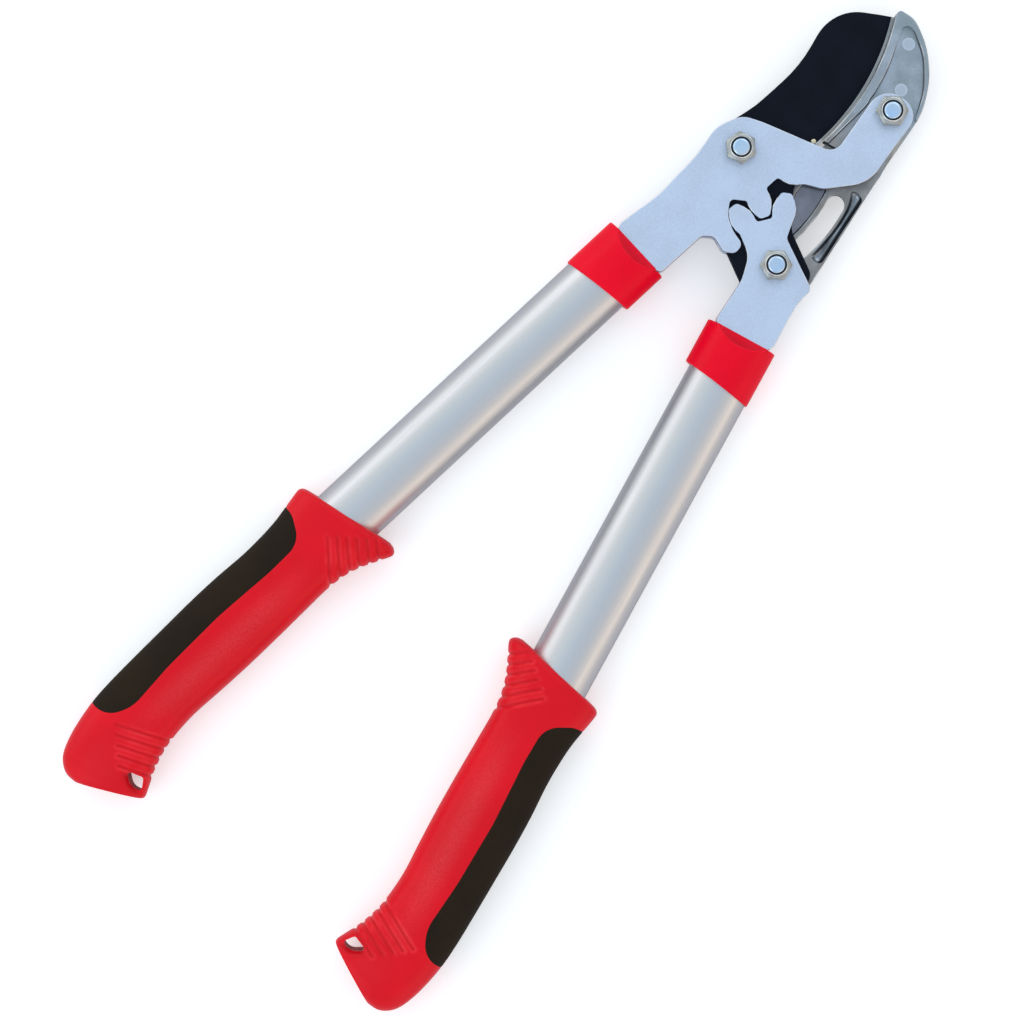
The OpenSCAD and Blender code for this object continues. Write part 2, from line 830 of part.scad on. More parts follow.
// The grip's whole outside, or its core below a skin of thickness inset
module grip_form(inset) {
    rings = [for (s = grip_stations) grip_ring(s, inset)];
    n = grip_sides;
    last = len(rings) - 1;
    polyhedron(
        [for (r = rings) each r],
        concat(
            [[for (i = [0 : n - 1]) i]],
            [
                for (k = [0 : last - 1])
                    for (i = [0 : n - 1])
                        let (j = (i + 1) % n)
                        each [
                            [k * n + i, (k + 1) * n + i, (k + 1) * n + j],
                            [k * n + i, (k + 1) * n + j, k * n + j]
                        ]
            ],
            [[for (i = [n - 1 : -1 : 0]) last * n + i]]
        )
    );
}

module grip_slab(points) {
    translate([0, 0, -grip_t])
        linear_extrude(grip_t * 2)
            polygon(points);
}

function grip_points(shares) = [
    for (s = shares) [s[0] * grip_len, s[1] * grip_w, s[2] * grip_w]
];

// One row of grooves, between its first and its last
module groove_row(count, first, last) {
    for (i = [0 : count - 1]) {
        g = first + (last - first) * i / (count - 1);
        a = [g[0] * grip_len, g[1] * grip_w];
        b = [g[2] * grip_len, g[3] * grip_w];
        b_end = b + unit(b - a) * groove_w * 2;
        translate([0, 0, -grip_t])
            linear_extrude(grip_t * 2)
                hull() {
                    translate(a)
                        circle(d = groove_w, $fn = 8);
                    translate(b_end)
                        circle(d = groove_w, $fn = 8);
                }
    }
}

module grip(tube_open) {
    color("#d91e2d")
        difference() {
            translate([tube_open, 0, 0])
                difference() {
                    grip_form(0);
                    difference() {
                        grip_slab(rounded(grip_points(insert_shares)));
                        grip_form(insert_d);
                    }
                    difference() {
                        union() {
                            groove_row(guard_grooves, guard_first_shares, guard_last_shares);
                            groove_row(end_grooves, end_first_shares, end_last_shares);
                        }
                        grip_form(groove_d);
                    }
                    grip_slab(rounded(grip_points(hang_shares)));
                }
            oval_bar(tube_w + tube_fit * 2, tube_t + tube_fit * 2, tube_open - collar_len,
                tube_hidden + collar_len + tube_stop, $fn = 48);
        }
}

module grip_insert(tube_open) {
    color("#2a261f")
        translate([tube_open, 0, 0])
            difference() {
                intersection() {
                    grip_form(0);
                    grip_slab(rounded(grip_points(insert_shares)));
                }
                grip_form(insert_d);
            }
}

module upper_tang_block() { on_upper() tang_block(); }
module lower_tang_block() { on_lower() tang_block(); }
module upper_rivet() { on_upper() rivet(); }
module lower_rivet() { on_lower() rivet(); }
module upper_tube() { on_upper() tube(upper_tube_open); }
module lower_tube() { on_lower() tube(lower_tube_open); }
module upper_collar() { on_upper() collar(upper_sag); }
module lower_collar() { on_lower() collar(lower_sag); }
module upper_grip() { on_upper() grip(upper_tube_open); }
module lower_grip() { on_lower() grip(lower_tube_open); }
module upper_grip_insert() { on_upper() grip_insert(upper_tube_open); }
module lower_grip_insert() { on_lower() grip_insert(lower_tube_open); }

blade();
anvil_jaw();
blade_spacer();
upper_front_plate();
upper_rear_plate();
lower_front_plate();
lower_rear_plate();
main_pivot_bolt();
anvil_pivot_bolt();
gear_pivot_bolt();
main_pivot_nut();
anvil_pivot_nut();
gear_pivot_nut();
main_pivot_washer();
anvil_pivot_washer();
gear_pivot_washer();
upper_tang_block();
lower_tang_block();
upper_rivet();
lower_rivet();
upper_tube();
lower_tube();
upper_collar();
lower_collar();
upper_grip();
lower_grip();
upper_grip_insert();
lower_grip_insert();
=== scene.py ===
"""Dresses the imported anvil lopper: softened metal, smooth grips, finishes and a studio stage."""

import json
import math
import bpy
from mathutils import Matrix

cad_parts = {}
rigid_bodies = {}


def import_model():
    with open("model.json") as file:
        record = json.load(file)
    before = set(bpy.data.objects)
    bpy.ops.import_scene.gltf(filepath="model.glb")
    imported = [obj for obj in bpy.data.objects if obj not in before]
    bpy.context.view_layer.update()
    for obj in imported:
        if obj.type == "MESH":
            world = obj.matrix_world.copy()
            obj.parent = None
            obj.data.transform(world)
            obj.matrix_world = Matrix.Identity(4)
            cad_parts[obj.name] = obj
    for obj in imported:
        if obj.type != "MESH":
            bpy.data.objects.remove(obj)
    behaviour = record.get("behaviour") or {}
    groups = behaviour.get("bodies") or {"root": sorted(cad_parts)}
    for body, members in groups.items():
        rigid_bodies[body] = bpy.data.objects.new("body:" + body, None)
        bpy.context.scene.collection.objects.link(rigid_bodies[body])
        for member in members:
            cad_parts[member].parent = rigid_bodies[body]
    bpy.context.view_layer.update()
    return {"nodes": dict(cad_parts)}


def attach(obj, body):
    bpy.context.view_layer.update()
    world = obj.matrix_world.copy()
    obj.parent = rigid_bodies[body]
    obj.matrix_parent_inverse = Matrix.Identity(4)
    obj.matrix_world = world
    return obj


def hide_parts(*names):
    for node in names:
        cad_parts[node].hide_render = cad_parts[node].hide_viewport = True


bl_info = {
    "name": "Anvil Lopper Finish",
    "version": (1, 0, 0),
    "blender": (4, 5, 0),
    "location": "View3D > Sidebar > Lopper",
    "description": "Builds the finishes, grips, fasteners and stage of an anvil lopper over its frame",
    "category": "Object",
}

import bmesh
import bpy
import numpy as np
from bpy.props import FloatProperty, FloatVectorProperty, PointerProperty
from bpy.types import Operator, Panel, PropertyGroup
from mathutils import Matrix, Vector

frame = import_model()

# Lengths are in metres, in the part's own frame, where a comment doesn't say otherwise.
MM = 0.001
MAIN_PIVOT = Vector((0.0, 0.0))
GEAR_PIVOT = Vector((-32.6036, -45.7761)) * MM
ANVIL_PIVOT = Vector((55.7975, -44.3833)) * MM
MID_HEIGHT = 14.7 * MM
SIDES = ("upper", "lower")
HEEL_STOP = Vector((23.4, -24.6)) * MM
# Middle of the arc that the blade's edge follows.
EDGE_CENTRE = (44.5148 * MM, 81.1 * MM, 0.0)
EJECTOR_MARKS = ((85.6 * MM, -31.6 * MM, 18.9 * MM), (66.8 * MM, -41.8 * MM, 18.9 * MM))
# The nuts' foot, and the height of their hexagon, in millimetres.
NUT_FOOT = 22.5
NUT_HEXAGON = 5.6
# The slant of the channel's outer side in the anvil's arm.
CHANNEL_LEAN = 0.083
# The collars' sloped mouth: its rise along the handle, and its height in millimetres at the start.
MOUTH_SLOPE = 5.55 / 5.4
MOUTH_HEIGHT = 8.6
# Corners above this angle are rolled over, where the faces beside them are wide enough.
ROLL_ANGLE = math.radians(35)
THIN_FACE = 0.3 * MM


class LopperHandleSizes(PropertyGroup):
    """Sizes of tubes, grips and grooves."""

    angle: FloatProperty(
        name="Handle Angle",
        description="Angle between each handle and the centre line",
        default=math.radians(9.2),
        subtype="ANGLE",
    )
    tube_width: FloatProperty(
        name="Tube Width", description="Width of the oval tubes", default=31.4 * MM, unit="LENGTH"
    )
    tube_depth: FloatProperty(
        name="Tube Depth", description="Thickness of the oval tubes", default=24.0 * MM, unit="LENGTH"
    )
    tube_wall: FloatProperty(
        name="Tube Wall", description="Wall of the oval tubes", default=1.5 * MM, unit="LENGTH"
    )
    grip_length: FloatProperty(
        name="Grip Length", description="Length of the grips", default=182.0 * MM, unit="LENGTH"
    )
    grip_width: FloatProperty(
        name="Grip Width", description="Width of the grips in the middle", default=39.6 * MM, unit="LENGTH"
    )
    grip_depth: FloatProperty(
        name="Grip Depth", description="Thickness of the grips", default=29.4 * MM, unit="LENGTH"
    )
    groove_depth: FloatProperty(
        name="Groove Depth",
        description="Depth of the grooves in guard and butt",
        default=0.8 * MM,
        unit="LENGTH",
    )
    groove_width: FloatProperty(
        name="Groove Width", description="Width of a groove at the surface", default=3.0 * MM, unit="LENGTH"
    )
    seam_depth: FloatProperty(
        name="Seam Depth",
        description="Depth of the seam round the soft insert",
        default=0.28 * MM,
        unit="LENGTH",
    )


class LopperFinishes(PropertyGroup):
    """Colours of the finishes."""

    zinc: FloatVectorProperty(
        name="Zinc Plate",
        description="Blue zinc plating of the plates",
        default=(0.61, 0.69, 0.83),
        subtype="COLOR",
    )
    bright_zinc: FloatVectorProperty(
        name="Bright Zinc",
        description="Plating of nuts and washers",
        default=(0.53, 0.57, 0.57),
        subtype="COLOR",
    )
    bolt_zinc: FloatVectorProperty(
        name="Blue Bolt Zinc",
        description="Blue plating of the bolts",
        default=(0.52, 0.70, 0.92),
        subtype="COLOR",
    )
    casting: FloatVectorProperty(
        name="Casting", description="Die-cast anvil", default=(0.395, 0.44, 0.495), subtype="COLOR"
    )
    coating: FloatVectorProperty(
        name="Blade Coating",
        description="Black coating of the blade",
        default=(0.0033, 0.0050, 0.0115),
        subtype="COLOR",
    )
    tube: FloatVectorProperty(
        name="Tube", description="Satin aluminium of the tubes", default=(0.62, 0.63, 0.65), subtype="COLOR"
    )
    collar: FloatVectorProperty(
        name="Collar",
        description="Bright red plastic of the collars",
        default=(0.86, 0.0005, 0.020),
        subtype="COLOR",
    )
    grip: FloatVectorProperty(
        name="Grip",
        description="Deep red plastic of the grips",
        default=(0.745, 0.0006, 0.011),
        subtype="COLOR",
    )
    insert: FloatVectorProperty(
        name="Insert",
        description="Soft black overmoulding",
        default=(0.0165, 0.0100, 0.0050),
        subtype="COLOR",
    )


class LopperStageSettings(PropertyGroup):
    """Camera, floor and light."""

    camera_height: FloatProperty(
        name="Camera Height",
        description="Height of the camera over the head's front",
        default=2.0,
        unit="LENGTH",
    )
    view_width: FloatProperty(
        name="View Width", description="Width of the view at the head's front", default=0.471, unit="LENGTH"
    )
    view_centre: FloatVectorProperty(
        name="View Centre",
        description="Point under the middle of the picture",
        size=2,
        default=(-0.1962, -0.0198),
        unit="LENGTH",
    )
    photo_turn: FloatProperty(
        name="Camera Turn",
        description="Turn of the camera about its own axis",
        default=math.radians(-52.1),
        subtype="ANGLE",
    )
    floor_shade: FloatProperty(
        name="Floor Shade", description="Paleness of the floor", default=0.86, min=0, max=1, subtype="FACTOR"
    )


# Meshes


def unit(v):
    return v / np.linalg.norm(v)


def rounded(points, step=4.0):
    """Outline through corner points (x, y, radius), each an arc in steps of so many degrees.

    An arc is made smaller where the sides beside it have no room for it."""
    out = []
    n = len(points)
    for i, (bx, by, r) in enumerate(points):
        a = np.array(points[i - 1][:2])
        b = np.array((bx, by))
        c = np.array(points[(i + 1) % n][:2])
        if r <= 0:
            out.append(b)
            continue
        to_a, to_c = unit(a - b), unit(c - b)
        half = math.acos(max(-1.0, min(1.0, float(to_a @ to_c)))) / 2
        reach = min(r / math.tan(half), np.linalg.norm(a - b) / 2, np.linalg.norm(c - b) / 2)
        arc = reach * math.tan(half)
        centre = b + unit(to_a + to_c) * arc / math.sin(half)
        start = b + to_a * reach - centre
        bend = math.pi - 2 * half
        side = math.copysign(1, to_c[0] * to_a[1] - to_c[1] * to_a[0])
        steps = max(2, math.ceil(math.degrees(bend) / step))
        for k in range(steps + 1):
            t = side * bend * k / steps
            cos_t, sin_t = math.cos(t), math.sin(t)
            out.append(centre + (start[0] * cos_t - start[1] * sin_t, start[0] * sin_t + start[1] * cos_t))
    return np.array(out)


def outline_distance(points, outline):
    """Distance of each (x, y) point to a closed outline, negative inside it."""
    best = np.full(len(points), 1e9)
    inside = np.zeros(len(points), bool)
    for a, b in zip(outline, np.roll(outline, -1, axis=0)):
        d = b - a
        length2 = d @ d
        if length2 < 1e-16:
            continue
        t = np.clip(((points - a) @ d) / length2, 0, 1)
        best = np.minimum(best, np.linalg.norm(points - a - t[:, None] * d, axis=1))
        crosses = (a[1] > points[:, 1]) != (b[1] > points[:, 1])
        if d[1] != 0:
            inside ^= crosses & (points[:, 0] < a[0] + (points[:, 1] - a[1]) * d[0] / d[1])
    return np.where(inside, -best, best)


def coat(mesh, material):
    """Gives a mesh one material."""
    mesh.materials.clear()
    mesh.materials.append(material)


def new_piece(name, mesh, body, material, replaced=()):
    """Links a mesh as a piece that rides on a body and stands for some of the frame's nodes."""
    piece = bpy.data.objects.new(name, mesh)
    bpy.context.scene.collection.objects.link(piece)
    coat(mesh, material)
    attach(piece, body)
    if replaced:
        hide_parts(*replaced)
    return piece


def finished(bm, mesh, sharp=None):
    """Puts a worked form into a mesh, shaded if the angle of its sharp corners is given."""
    bm.to_mesh(mesh)
    bm.free()
    if sharp:
        shade(mesh, sharp)
    return mesh


def shade(mesh, sharp):
    """Smooth shading that stays crisp at corners above an angle in degrees."""
    mesh.polygons.foreach_set("use_smooth", np.ones(len(mesh.polygons), bool))
    mesh.set_sharp_from_angle(angle=math.radians(sharp))
    mesh.update()


def rolled_over(bm, edges, width, segments):
    """Rounds the given edges and returns the new faces."""
    return bmesh.ops.bevel(
        bm,
        geom=edges,
        offset=width,
        offset_type="OFFSET",
        segments=segments,
        profile=0.5,
        affect="EDGES",
        clamp_overlap=False,
    )["faces"]


def softened(node, width, segments=3, fillets=False):
    """A copy of a node's mesh with its corners rolled over, and those rolls marked for wear and for a painted
    highlight.

    Fillets fill its inner corners too, which only a casting has, and are marked for painted shade."""
    bm = bmesh.new()
    bm.from_mesh(frame["nodes"][node].data)
    bmesh.ops.remove_doubles(bm, verts=bm.verts, dist=0.002 * MM)
    bmesh.ops.dissolve_limit(bm, angle_limit=math.radians(0.4), verts=bm.verts, edges=bm.edges)
    # One layer marks inner corners for painted shade, the other marks rolled corners for wear and a painted
    # highlight.
    painted_shade, wear_and_painted_light = [bm.faces.layers.float.new(name) for name in ("painted_crease_shade", "edge_wear_and_highlight")]
    inner, outer = (painted_shade, -1), (wear_and_painted_light, 1)
    for layer, side in (inner, outer) if fillets else (outer,):
        roomy = {f: f.calc_area() / max(e.calc_length() for e in f.edges) > THIN_FACE for f in bm.faces}
        edges = [
            e
            for e in bm.edges
            if len(e.link_faces) == 2
            and side * e.calc_face_angle_signed() > ROLL_ANGLE
            and all(roomy[f] for f in e.link_faces)
        ]
        for f in rolled_over(bm, edges, width, segments):
            f[layer] = 1.0
    return finished(bm, bpy.data.meshes.new(node + "_finished"), 48)


def weighted(piece):
    """Normals that keep large flat faces flat beside their rolled corners."""
    mod = piece.modifiers.new("Flat Faces", "WEIGHTED_NORMAL")
    mod.keep_sharp = True
    mod.weight = 60


def turned_mesh(name, profile, at, hexagon=0.0, turn=0.0, closed=False, steps=96):
    """A lathe profile of radii and heights round a vertical axis; those with True follow the hexagon."""
    bm = bmesh.new()
    rings = []
    for r, z, *hexed in profile:
        if r == 0:
            rings.append([bm.verts.new((at.x, at.y, z))])
            continue
        ring = []
        for i in range(steps):
            a = 2 * math.pi * i / steps
            off_flat = (a - math.pi / 6) % (math.pi / 3) - math.pi / 6
            radius = min(r, hexagon / 2 / math.cos(off_flat)) if hexed else r
            x, y = at.x + radius * math.cos(a + turn), at.y + radius * math.sin(a + turn)
            ring.append(bm.verts.new((x, y, z)))
        rings.append(ring)
    pairs = list(zip(rings, rings[1:])) + ([(rings[-1], rings[0])] if closed else [])
    for low, high in pairs:
        for i in range(steps):
            j = (i + 1) % steps
            face = [low[i % len(low)], low[j % len(low)], high[j % len(high)], high[i % len(high)]]
            bm.faces.new(list(dict.fromkeys(face)))
    bmesh.ops.recalc_face_normals(bm, faces=bm.faces)
    return finished(bm, bpy.data.meshes.new(name), 38)


def points_of(mesh):
    """A mesh's points as rows."""
    points = np.empty(len(mesh.vertices) * 3)
    mesh.vertices.foreach_get("co", points)
    return points.reshape(-1, 3)


class Handle:
    """One handle's own frame: x along it from the collar's mouth, w outwards, z up from its middle."""

    def __init__(self, side):
        sizes = bpy.context.scene.lopper_handle
        self.body = side + "_handle"
        upper = side == "upper"
        self.out = 1.0 if upper else -1.0
        self.pivot = np.array(MAIN_PIVOT if upper else GEAR_PIVOT)
        # Back from the pivot to the collar's mouth, out from it to the tube's middle, and from mouth to grip.
        self.neck = (66.2 if upper else 35.8) * MM
        self.axis = (-0.6 if upper else 3.1) * MM
        self.tube_open = (174.8 if upper else 170.4) * MM
        self.turn = -self.out * sizes.angle

    def to_part(self, local):
        """Points of the handle's frame, in the part's frame."""
        x = -(self.neck + local[..., 0])
        y = self.out * (self.axis + local[..., 1])
        c, s = math.cos(self.turn), math.sin(self.turn)
        px, py = self.pivot
        return np.stack((px + x * c - y * s, py + x * s + y * c, MID_HEIGHT + local[..., 2]), axis=-1)

    def to_local(self, part):
        """Points of the part's frame, in the handle's frame."""
        c, s = math.cos(self.turn), math.sin(self.turn)
        dx, dy = part[..., 0] - self.pivot[0], part[..., 1] - self.pivot[1]
        x, y = dx * c + dy * s, -dx * s + dy * c
        return np.stack((-x - self.neck, self.out * y - self.axis, part[..., 2] - MID_HEIGHT), axis=-1)

    def mark(self, mesh):
        """Keeps the handle's own coordinates on the mesh, for grain that runs along it."""
        local = self.to_local(points_of(mesh)).astype(np.float32)
        layer = mesh.attributes.new("along_handle", "FLOAT_VECTOR", "POINT")
        layer.data.foreach_set("vector", local.ravel())
        return mesh


def loft(name, rings, flip, caps=True):
    """A skin over rings of points, closed by caps, or from the last ring to the first."""
    count, around = rings.shape[:2]
    points = rings.reshape(-1, 3)
    i = np.arange(around)
    j = (i + 1) % around
    starts = np.arange(count) * around
    base = starts[-1]
    bands = list(zip(starts, starts[1:])) + ([] if caps else [(base, 0)])
    faces = []
    for low, high in bands:
        faces.extend(np.stack((low + i, low + j, high + j, high + i), axis=1).tolist())
    if caps:
        points = np.vstack((points, rings[0].mean(0), rings[-1].mean(0)))
        first, last = np.full(around, len(points) - 2), np.full(around, len(points) - 1)
        faces.extend(np.stack((first, j, i), axis=1).tolist())
        faces.extend(np.stack((last, base + i, base + j), axis=1).tolist())
    if flip:
        faces = [f[::-1] for f in faces]
    mesh = bpy.data.meshes.new(name)
    mesh.from_pydata(points.tolist(), [], faces)
    mesh.update()
    return mesh


def carved(mesh, cutters):
    """The mesh after cutting with (mesh, operation) pairs in turn."""
    objects = bpy.context.scene.collection.objects
    work = bpy.data.objects.new("carving", mesh)
    objects.link(work)
    tools = []
    for cutter, operation in cutters:
        tool = bpy.data.objects.new("cutter", cutter)
        objects.link(tool)
        tools.append(tool)
        mod = work.modifiers.new("Cut", "BOOLEAN")
        mod.operation = operation
        mod.solver = "MANIFOLD"
        mod.object = tool
    bpy.context.view_layer.update()
    result = bpy.data.meshes.new_from_object(work.evaluated_get(bpy.context.evaluated_depsgraph_get()))
    for thing in [work, *tools]:
        bpy.data.objects.remove(thing)
    if not len(result.polygons):
        raise RuntimeError("a cut left nothing of " + mesh.name)
    return result


# Materials


class Nodes:
    """Makes and links the nodes of one tree. What is fed to a socket is a value or another node's socket."""

    def __init__(self, tree):
        self.tree = tree

    def feed(self, socket, value):
        if isinstance(value, bpy.types.NodeSocket):
            self.tree.links.new(value, socket)
        elif socket.type == "RGBA":
            socket.default_value = (*value, 1.0)
        else:
            socket.default_value = value

    def add(self, kind, *values):
        """A node with its first inputs fed in order."""
        node = self.tree.nodes.new(kind)
        for socket, value in zip(node.inputs, values):
            self.feed(socket, value)
        return node

    def feed_named(self, node, inputs):
        for key, value in inputs.items():
            self.feed(node.inputs[key.replace("_", " ")], value)

    def maths(self, operation, a, b=0.0, clamp=False):
        node = self.add("ShaderNodeMath", a, b)
        node.operation = operation
        node.use_clamp = clamp
        return node.outputs[0]

    def product(self, mask, *others):
        for other in others:
            mask = self.maths("MULTIPLY", mask, other)
        return mask

    def vector(self, operation, a, b):
        node = self.add("ShaderNodeVectorMath", a, b)
        node.operation = operation
        return node.outputs["Value" if operation == "DISTANCE" else "Vector"]

    def parts(self, vector):
        """A vector's x, y and z."""
        return self.add("ShaderNodeSeparateXYZ", vector).outputs

    def attribute(self, name, output="Fac"):
        """What a mesh keeps under this name."""
        node = self.add("ShaderNodeAttribute")
        node.attribute_name = name
        return node.outputs[output]

    def noise(self, place, scale, detail, roughness=0.5):
        node = self.add("ShaderNodeTexNoise")
        self.feed_named(node, {"Vector": place, "Scale": scale, "Detail": detail, "Roughness": roughness})
        return node.outputs["Fac"]

    def ramp(self, value, low, high):
        """A smooth mask from 0 at low to 1 at high."""
        node = self.add("ShaderNodeMapRange", value, low, high)
        node.interpolation_type = "SMOOTHSTEP"
        return node.outputs[0]

    def tint(self, mask, a, b):
        """Colour a where the mask is 0, and b where it is 1."""
        node = self.add("ShaderNodeMix", mask)
        node.data_type = "RGBA"
        self.feed(node.inputs[6], a)
        self.feed(node.inputs[7], b)
        return node.outputs[2]

    def shades(self, mask, colour, low, high):
        """A colour times low where the mask is 0, and times high where it is 1."""
        return self.tint(mask, scaled(colour, low), scaled(colour, high))

    def mix(self, mask, a, b):
        """Number a where the mask is 0, and b where it is 1."""
        node = self.add("ShaderNodeMix", mask)
        node.data_type = "FLOAT"
        self.feed(node.inputs[2], a)
        self.feed(node.inputs[3], b)
        return node.outputs[0]

    def use(self, group, **inputs):
        """The outputs of a shared group whose inputs are fed by name."""
        node = self.add("ShaderNodeGroup")
        node.node_tree = group
        self.feed_named(node, inputs)
        return node.outputs

    def arrange(self, step=220):
        """Sets the nodes out in columns, each to the right of what feeds it."""
        column = {node.name: 0 for node in self.tree.nodes}
        for _ in column:
            for link in self.tree.links:
                column[link.to_node.name] = max(column[link.to_node.name], column[link.from_node.name] + 1)
        rows = {}
        for name, at in column.items():
            rows[at] = rows.get(at, 0) + 1
            self.tree.nodes[name].location = (at * step, -rows[at] * step)


def shared(name, inputs, outputs):
    """Marks the function that wires a shared group, which is built on its first use.

    Inputs come with their defaults: a number, a vector, or None for a vector that is always fed."""

    def wrap(wire):
        def group():
            if name not in bpy.data.node_groups:
                tree = bpy.data.node_groups.new(name, "ShaderNodeTree")
                for label, default in inputs.items():
                    kind = "NodeSocketFloat" if isinstance(default, float) else "NodeSocketVector"
                    socket = tree.interface.new_socket(label, in_out="INPUT", socket_type=kind)
                    if default is not None:
                        socket.default_value = default
                for label in outputs:
                    tree.interface.new_socket(label, in_out="OUTPUT", socket_type="NodeSocketFloat")
                nodes = Nodes(tree)
                start, end = tree.nodes.new("NodeGroupInput"), tree.nodes.new("NodeGroupOutput")
                results = wire(nodes, *[start.outputs[label] for label in inputs])
                for label, result in zip(outputs, results):
                    nodes.feed(end.inputs[label], result)
                nodes.arrange()
            return bpy.data.node_groups[name]

        return group

    return wrap


@shared(
    "Surface Mottle",
    {"Position": None, "Fine Scale": 900.0, "Broad Scale": 60.0, "Fine Share": 0.5},
    ("Mask", "Height"),
)
def mottle_group(nodes, position, fine_scale, broad_scale, fine_share):
    """Fine and broad unevenness of a plated, cast or moulded surface."""
    fine = nodes.noise(position, fine_scale, 3.0)
    broad = nodes.noise(position, broad_scale, 4.0)
    return nodes.ramp(nodes.mix(fine_share, broad, fine), 0.36, 0.64), fine


@shared("Edge Wear And Painted Light", {"Position": None, "Patch Scale": 120.0, "Amount": 0.6}, ("Mask", "Painted Shade"))
def edge_wear_and_light_group(nodes, position, patch_scale, amount):
    """Rubbed patches on the corners that a mesh marks, which stand for wear and a painted highlight, and
    painted shade in its inner corners.
    """
    patches = nodes.ramp(nodes.noise(position, patch_scale, 5.0), 0.38, 0.62)
    return nodes.product(nodes.attribute("edge_wear_and_highlight"), patches, amount), nodes.attribute("painted_crease_shade")


@shared("Handling Scuffs", {"Position": None, "Stretch": (40.0, 900.0, 900.0), "Rarity": 0.66}, ("Mask",))
def scuff_group(nodes, position, stretch, rarity):
    """Faint hairlines and rubbed specks from use."""
    lines = nodes.noise(nodes.vector("MULTIPLY", position, stretch), 1.0, 2.0)
    return (nodes.maths("MULTIPLY", nodes.maths("SUBTRACT", lines, rarity), 9.0, clamp=True),)


class Finish(Nodes):
    """A material in the making: its nodes, its shader and the place on the part."""

    def __init__(self, name):
        material = bpy.data.materials.new(name)
        material.use_nodes = True
        super().__init__(material.node_tree)
        self.tree.nodes.clear()
        self.shader = self.add("ShaderNodeBsdfPrincipled")
        self.out = self.add("ShaderNodeOutputMaterial", self.shader.outputs[0])
        self.place = self.add("ShaderNodeTexCoord").outputs["Object"]

    def dress(self, **inputs):
        """Feeds the shader's inputs by name."""
        self.feed_named(self.shader, inputs)

    def bump(self, height, distance, strength=0.5):
        bump = self.add("ShaderNodeBump")
        self.feed_named(bump, {"Height": height, "Distance": distance, "Strength": strength})
        self.dress(Normal=bump.outputs[0])

    def along(self):
        """The handle's own coordinates, kept on the mesh."""
        return self.attribute("along_handle", "Vector")

    def mottle(self, fine, broad, share):
        inputs = {"Fine_Scale": fine, "Broad_Scale": broad, "Fine_Share": share}
        return self.use(mottle_group(), Position=self.place, **inputs)

    # The mask of worn corners, partly a painted highlight, and the mask of painted shade in inner corners.
    def wear_and_painted_light(self, patch_scale, amount):
        return self.use(edge_wear_and_light_group(), Position=self.place, Patch_Scale=patch_scale, Amount=amount)

    def scuffs(self, place, stretch, rarity):
        return self.use(scuff_group(), Position=place, Stretch=stretch, Rarity=rarity)[0]


def finish(name):
    """Marks the function that dresses a material, which is made on its first use."""

    def wrap(dress):
        def material():
            if name not in bpy.data.materials:
                work = Finish(name)
                dress(work)
                work.arrange()
            return bpy.data.materials[name]

        return material

    return wrap


def colours():
    """The colours as they are set in the finishes' properties."""
    return bpy.context.scene.lopper_finish


def scaled(colour, *shares):
    """A colour times one share, or times one for each channel."""
    return tuple(min(1.0, c * share) for c, share in zip(colour, shares * 3))


@finish("Blue Zinc Plate")
def zinc_plate(f):
    """Blue zinc on pressed steel: fine satin mottle, corners pale from wear and a painted highlight, faint
    hairlines.
    """
    colour = tuple(colours().zinc)
    mottle = f.mottle(1100.0, 55.0, 0.45)
    scuffs = f.scuffs(f.place, (120.0, 1500.0, 300.0), 0.67)
    base = f.shades(mottle[0], colour, 0.93, 1.06)
    f.dress(
        Base_Color=f.tint(f.wear_and_painted_light(140.0, 0.7)[0], base, (0.86, 0.88, 0.90)),
        Roughness=f.mix(scuffs, f.mix(mottle[0], 0.46, 0.38), 0.55),
        Metallic=1.0,
    )
    f.bump(mottle[1], 0.04 * MM)


def bright_metal(f, colour, warm):
    """Bright plating on turned metal, warm in places, and painted shade on the hexagon below a nut's collar.
    """
    mottle = f.mottle(700.0, 160.0, 0.35)
    z = f.parts(f.place)[2]
    top = NUT_FOOT + NUT_HEXAGON
    below = f.ramp(z, (top + 0.1) * MM, (top - 0.1) * MM)
    hexagon = f.product(below, f.ramp(z, (NUT_FOOT - 0.2) * MM, NUT_FOOT * MM))
    # The hexagon below the collar takes a darker colour: painted shade.
    f.dress(
        Base_Color=f.tint(hexagon, f.tint(mottle[0], colour, warm), (0.35, 0.365, 0.35)),
        Roughness=f.mix(mottle[0], 0.15, 0.26),
        Metallic=1.0,
    )
    f.bump(mottle[1], 0.06 * MM, 0.4)


@finish("Bright Zinc Fastener")
def bright_zinc(f):
    bright_metal(f, tuple(colours().bright_zinc), (0.70, 0.70, 0.66))


@finish("Blue Zinc Bolt")
def bolt_zinc(f):
    bright_metal(f, tuple(colours().bolt_zinc), (0.60, 0.72, 0.84))


@finish("Brass Stop")
def stop_brass(f):
    bright_metal(f, (0.62, 0.52, 0.34), (0.70, 0.64, 0.48))


@finish("Dark Lock Ring")
def lock_ring_plastic(f):
    """Dark ring that grips the bolt inside a lock nut."""
    mottle = f.mottle(900.0, 300.0, 0.5)
    base = f.tint(mottle[0], (0.012, 0.014, 0.02), (0.03, 0.035, 0.045))
    f.dress(Base_Color=base, Roughness=0.5, Specular_IOR_Level=0.2)


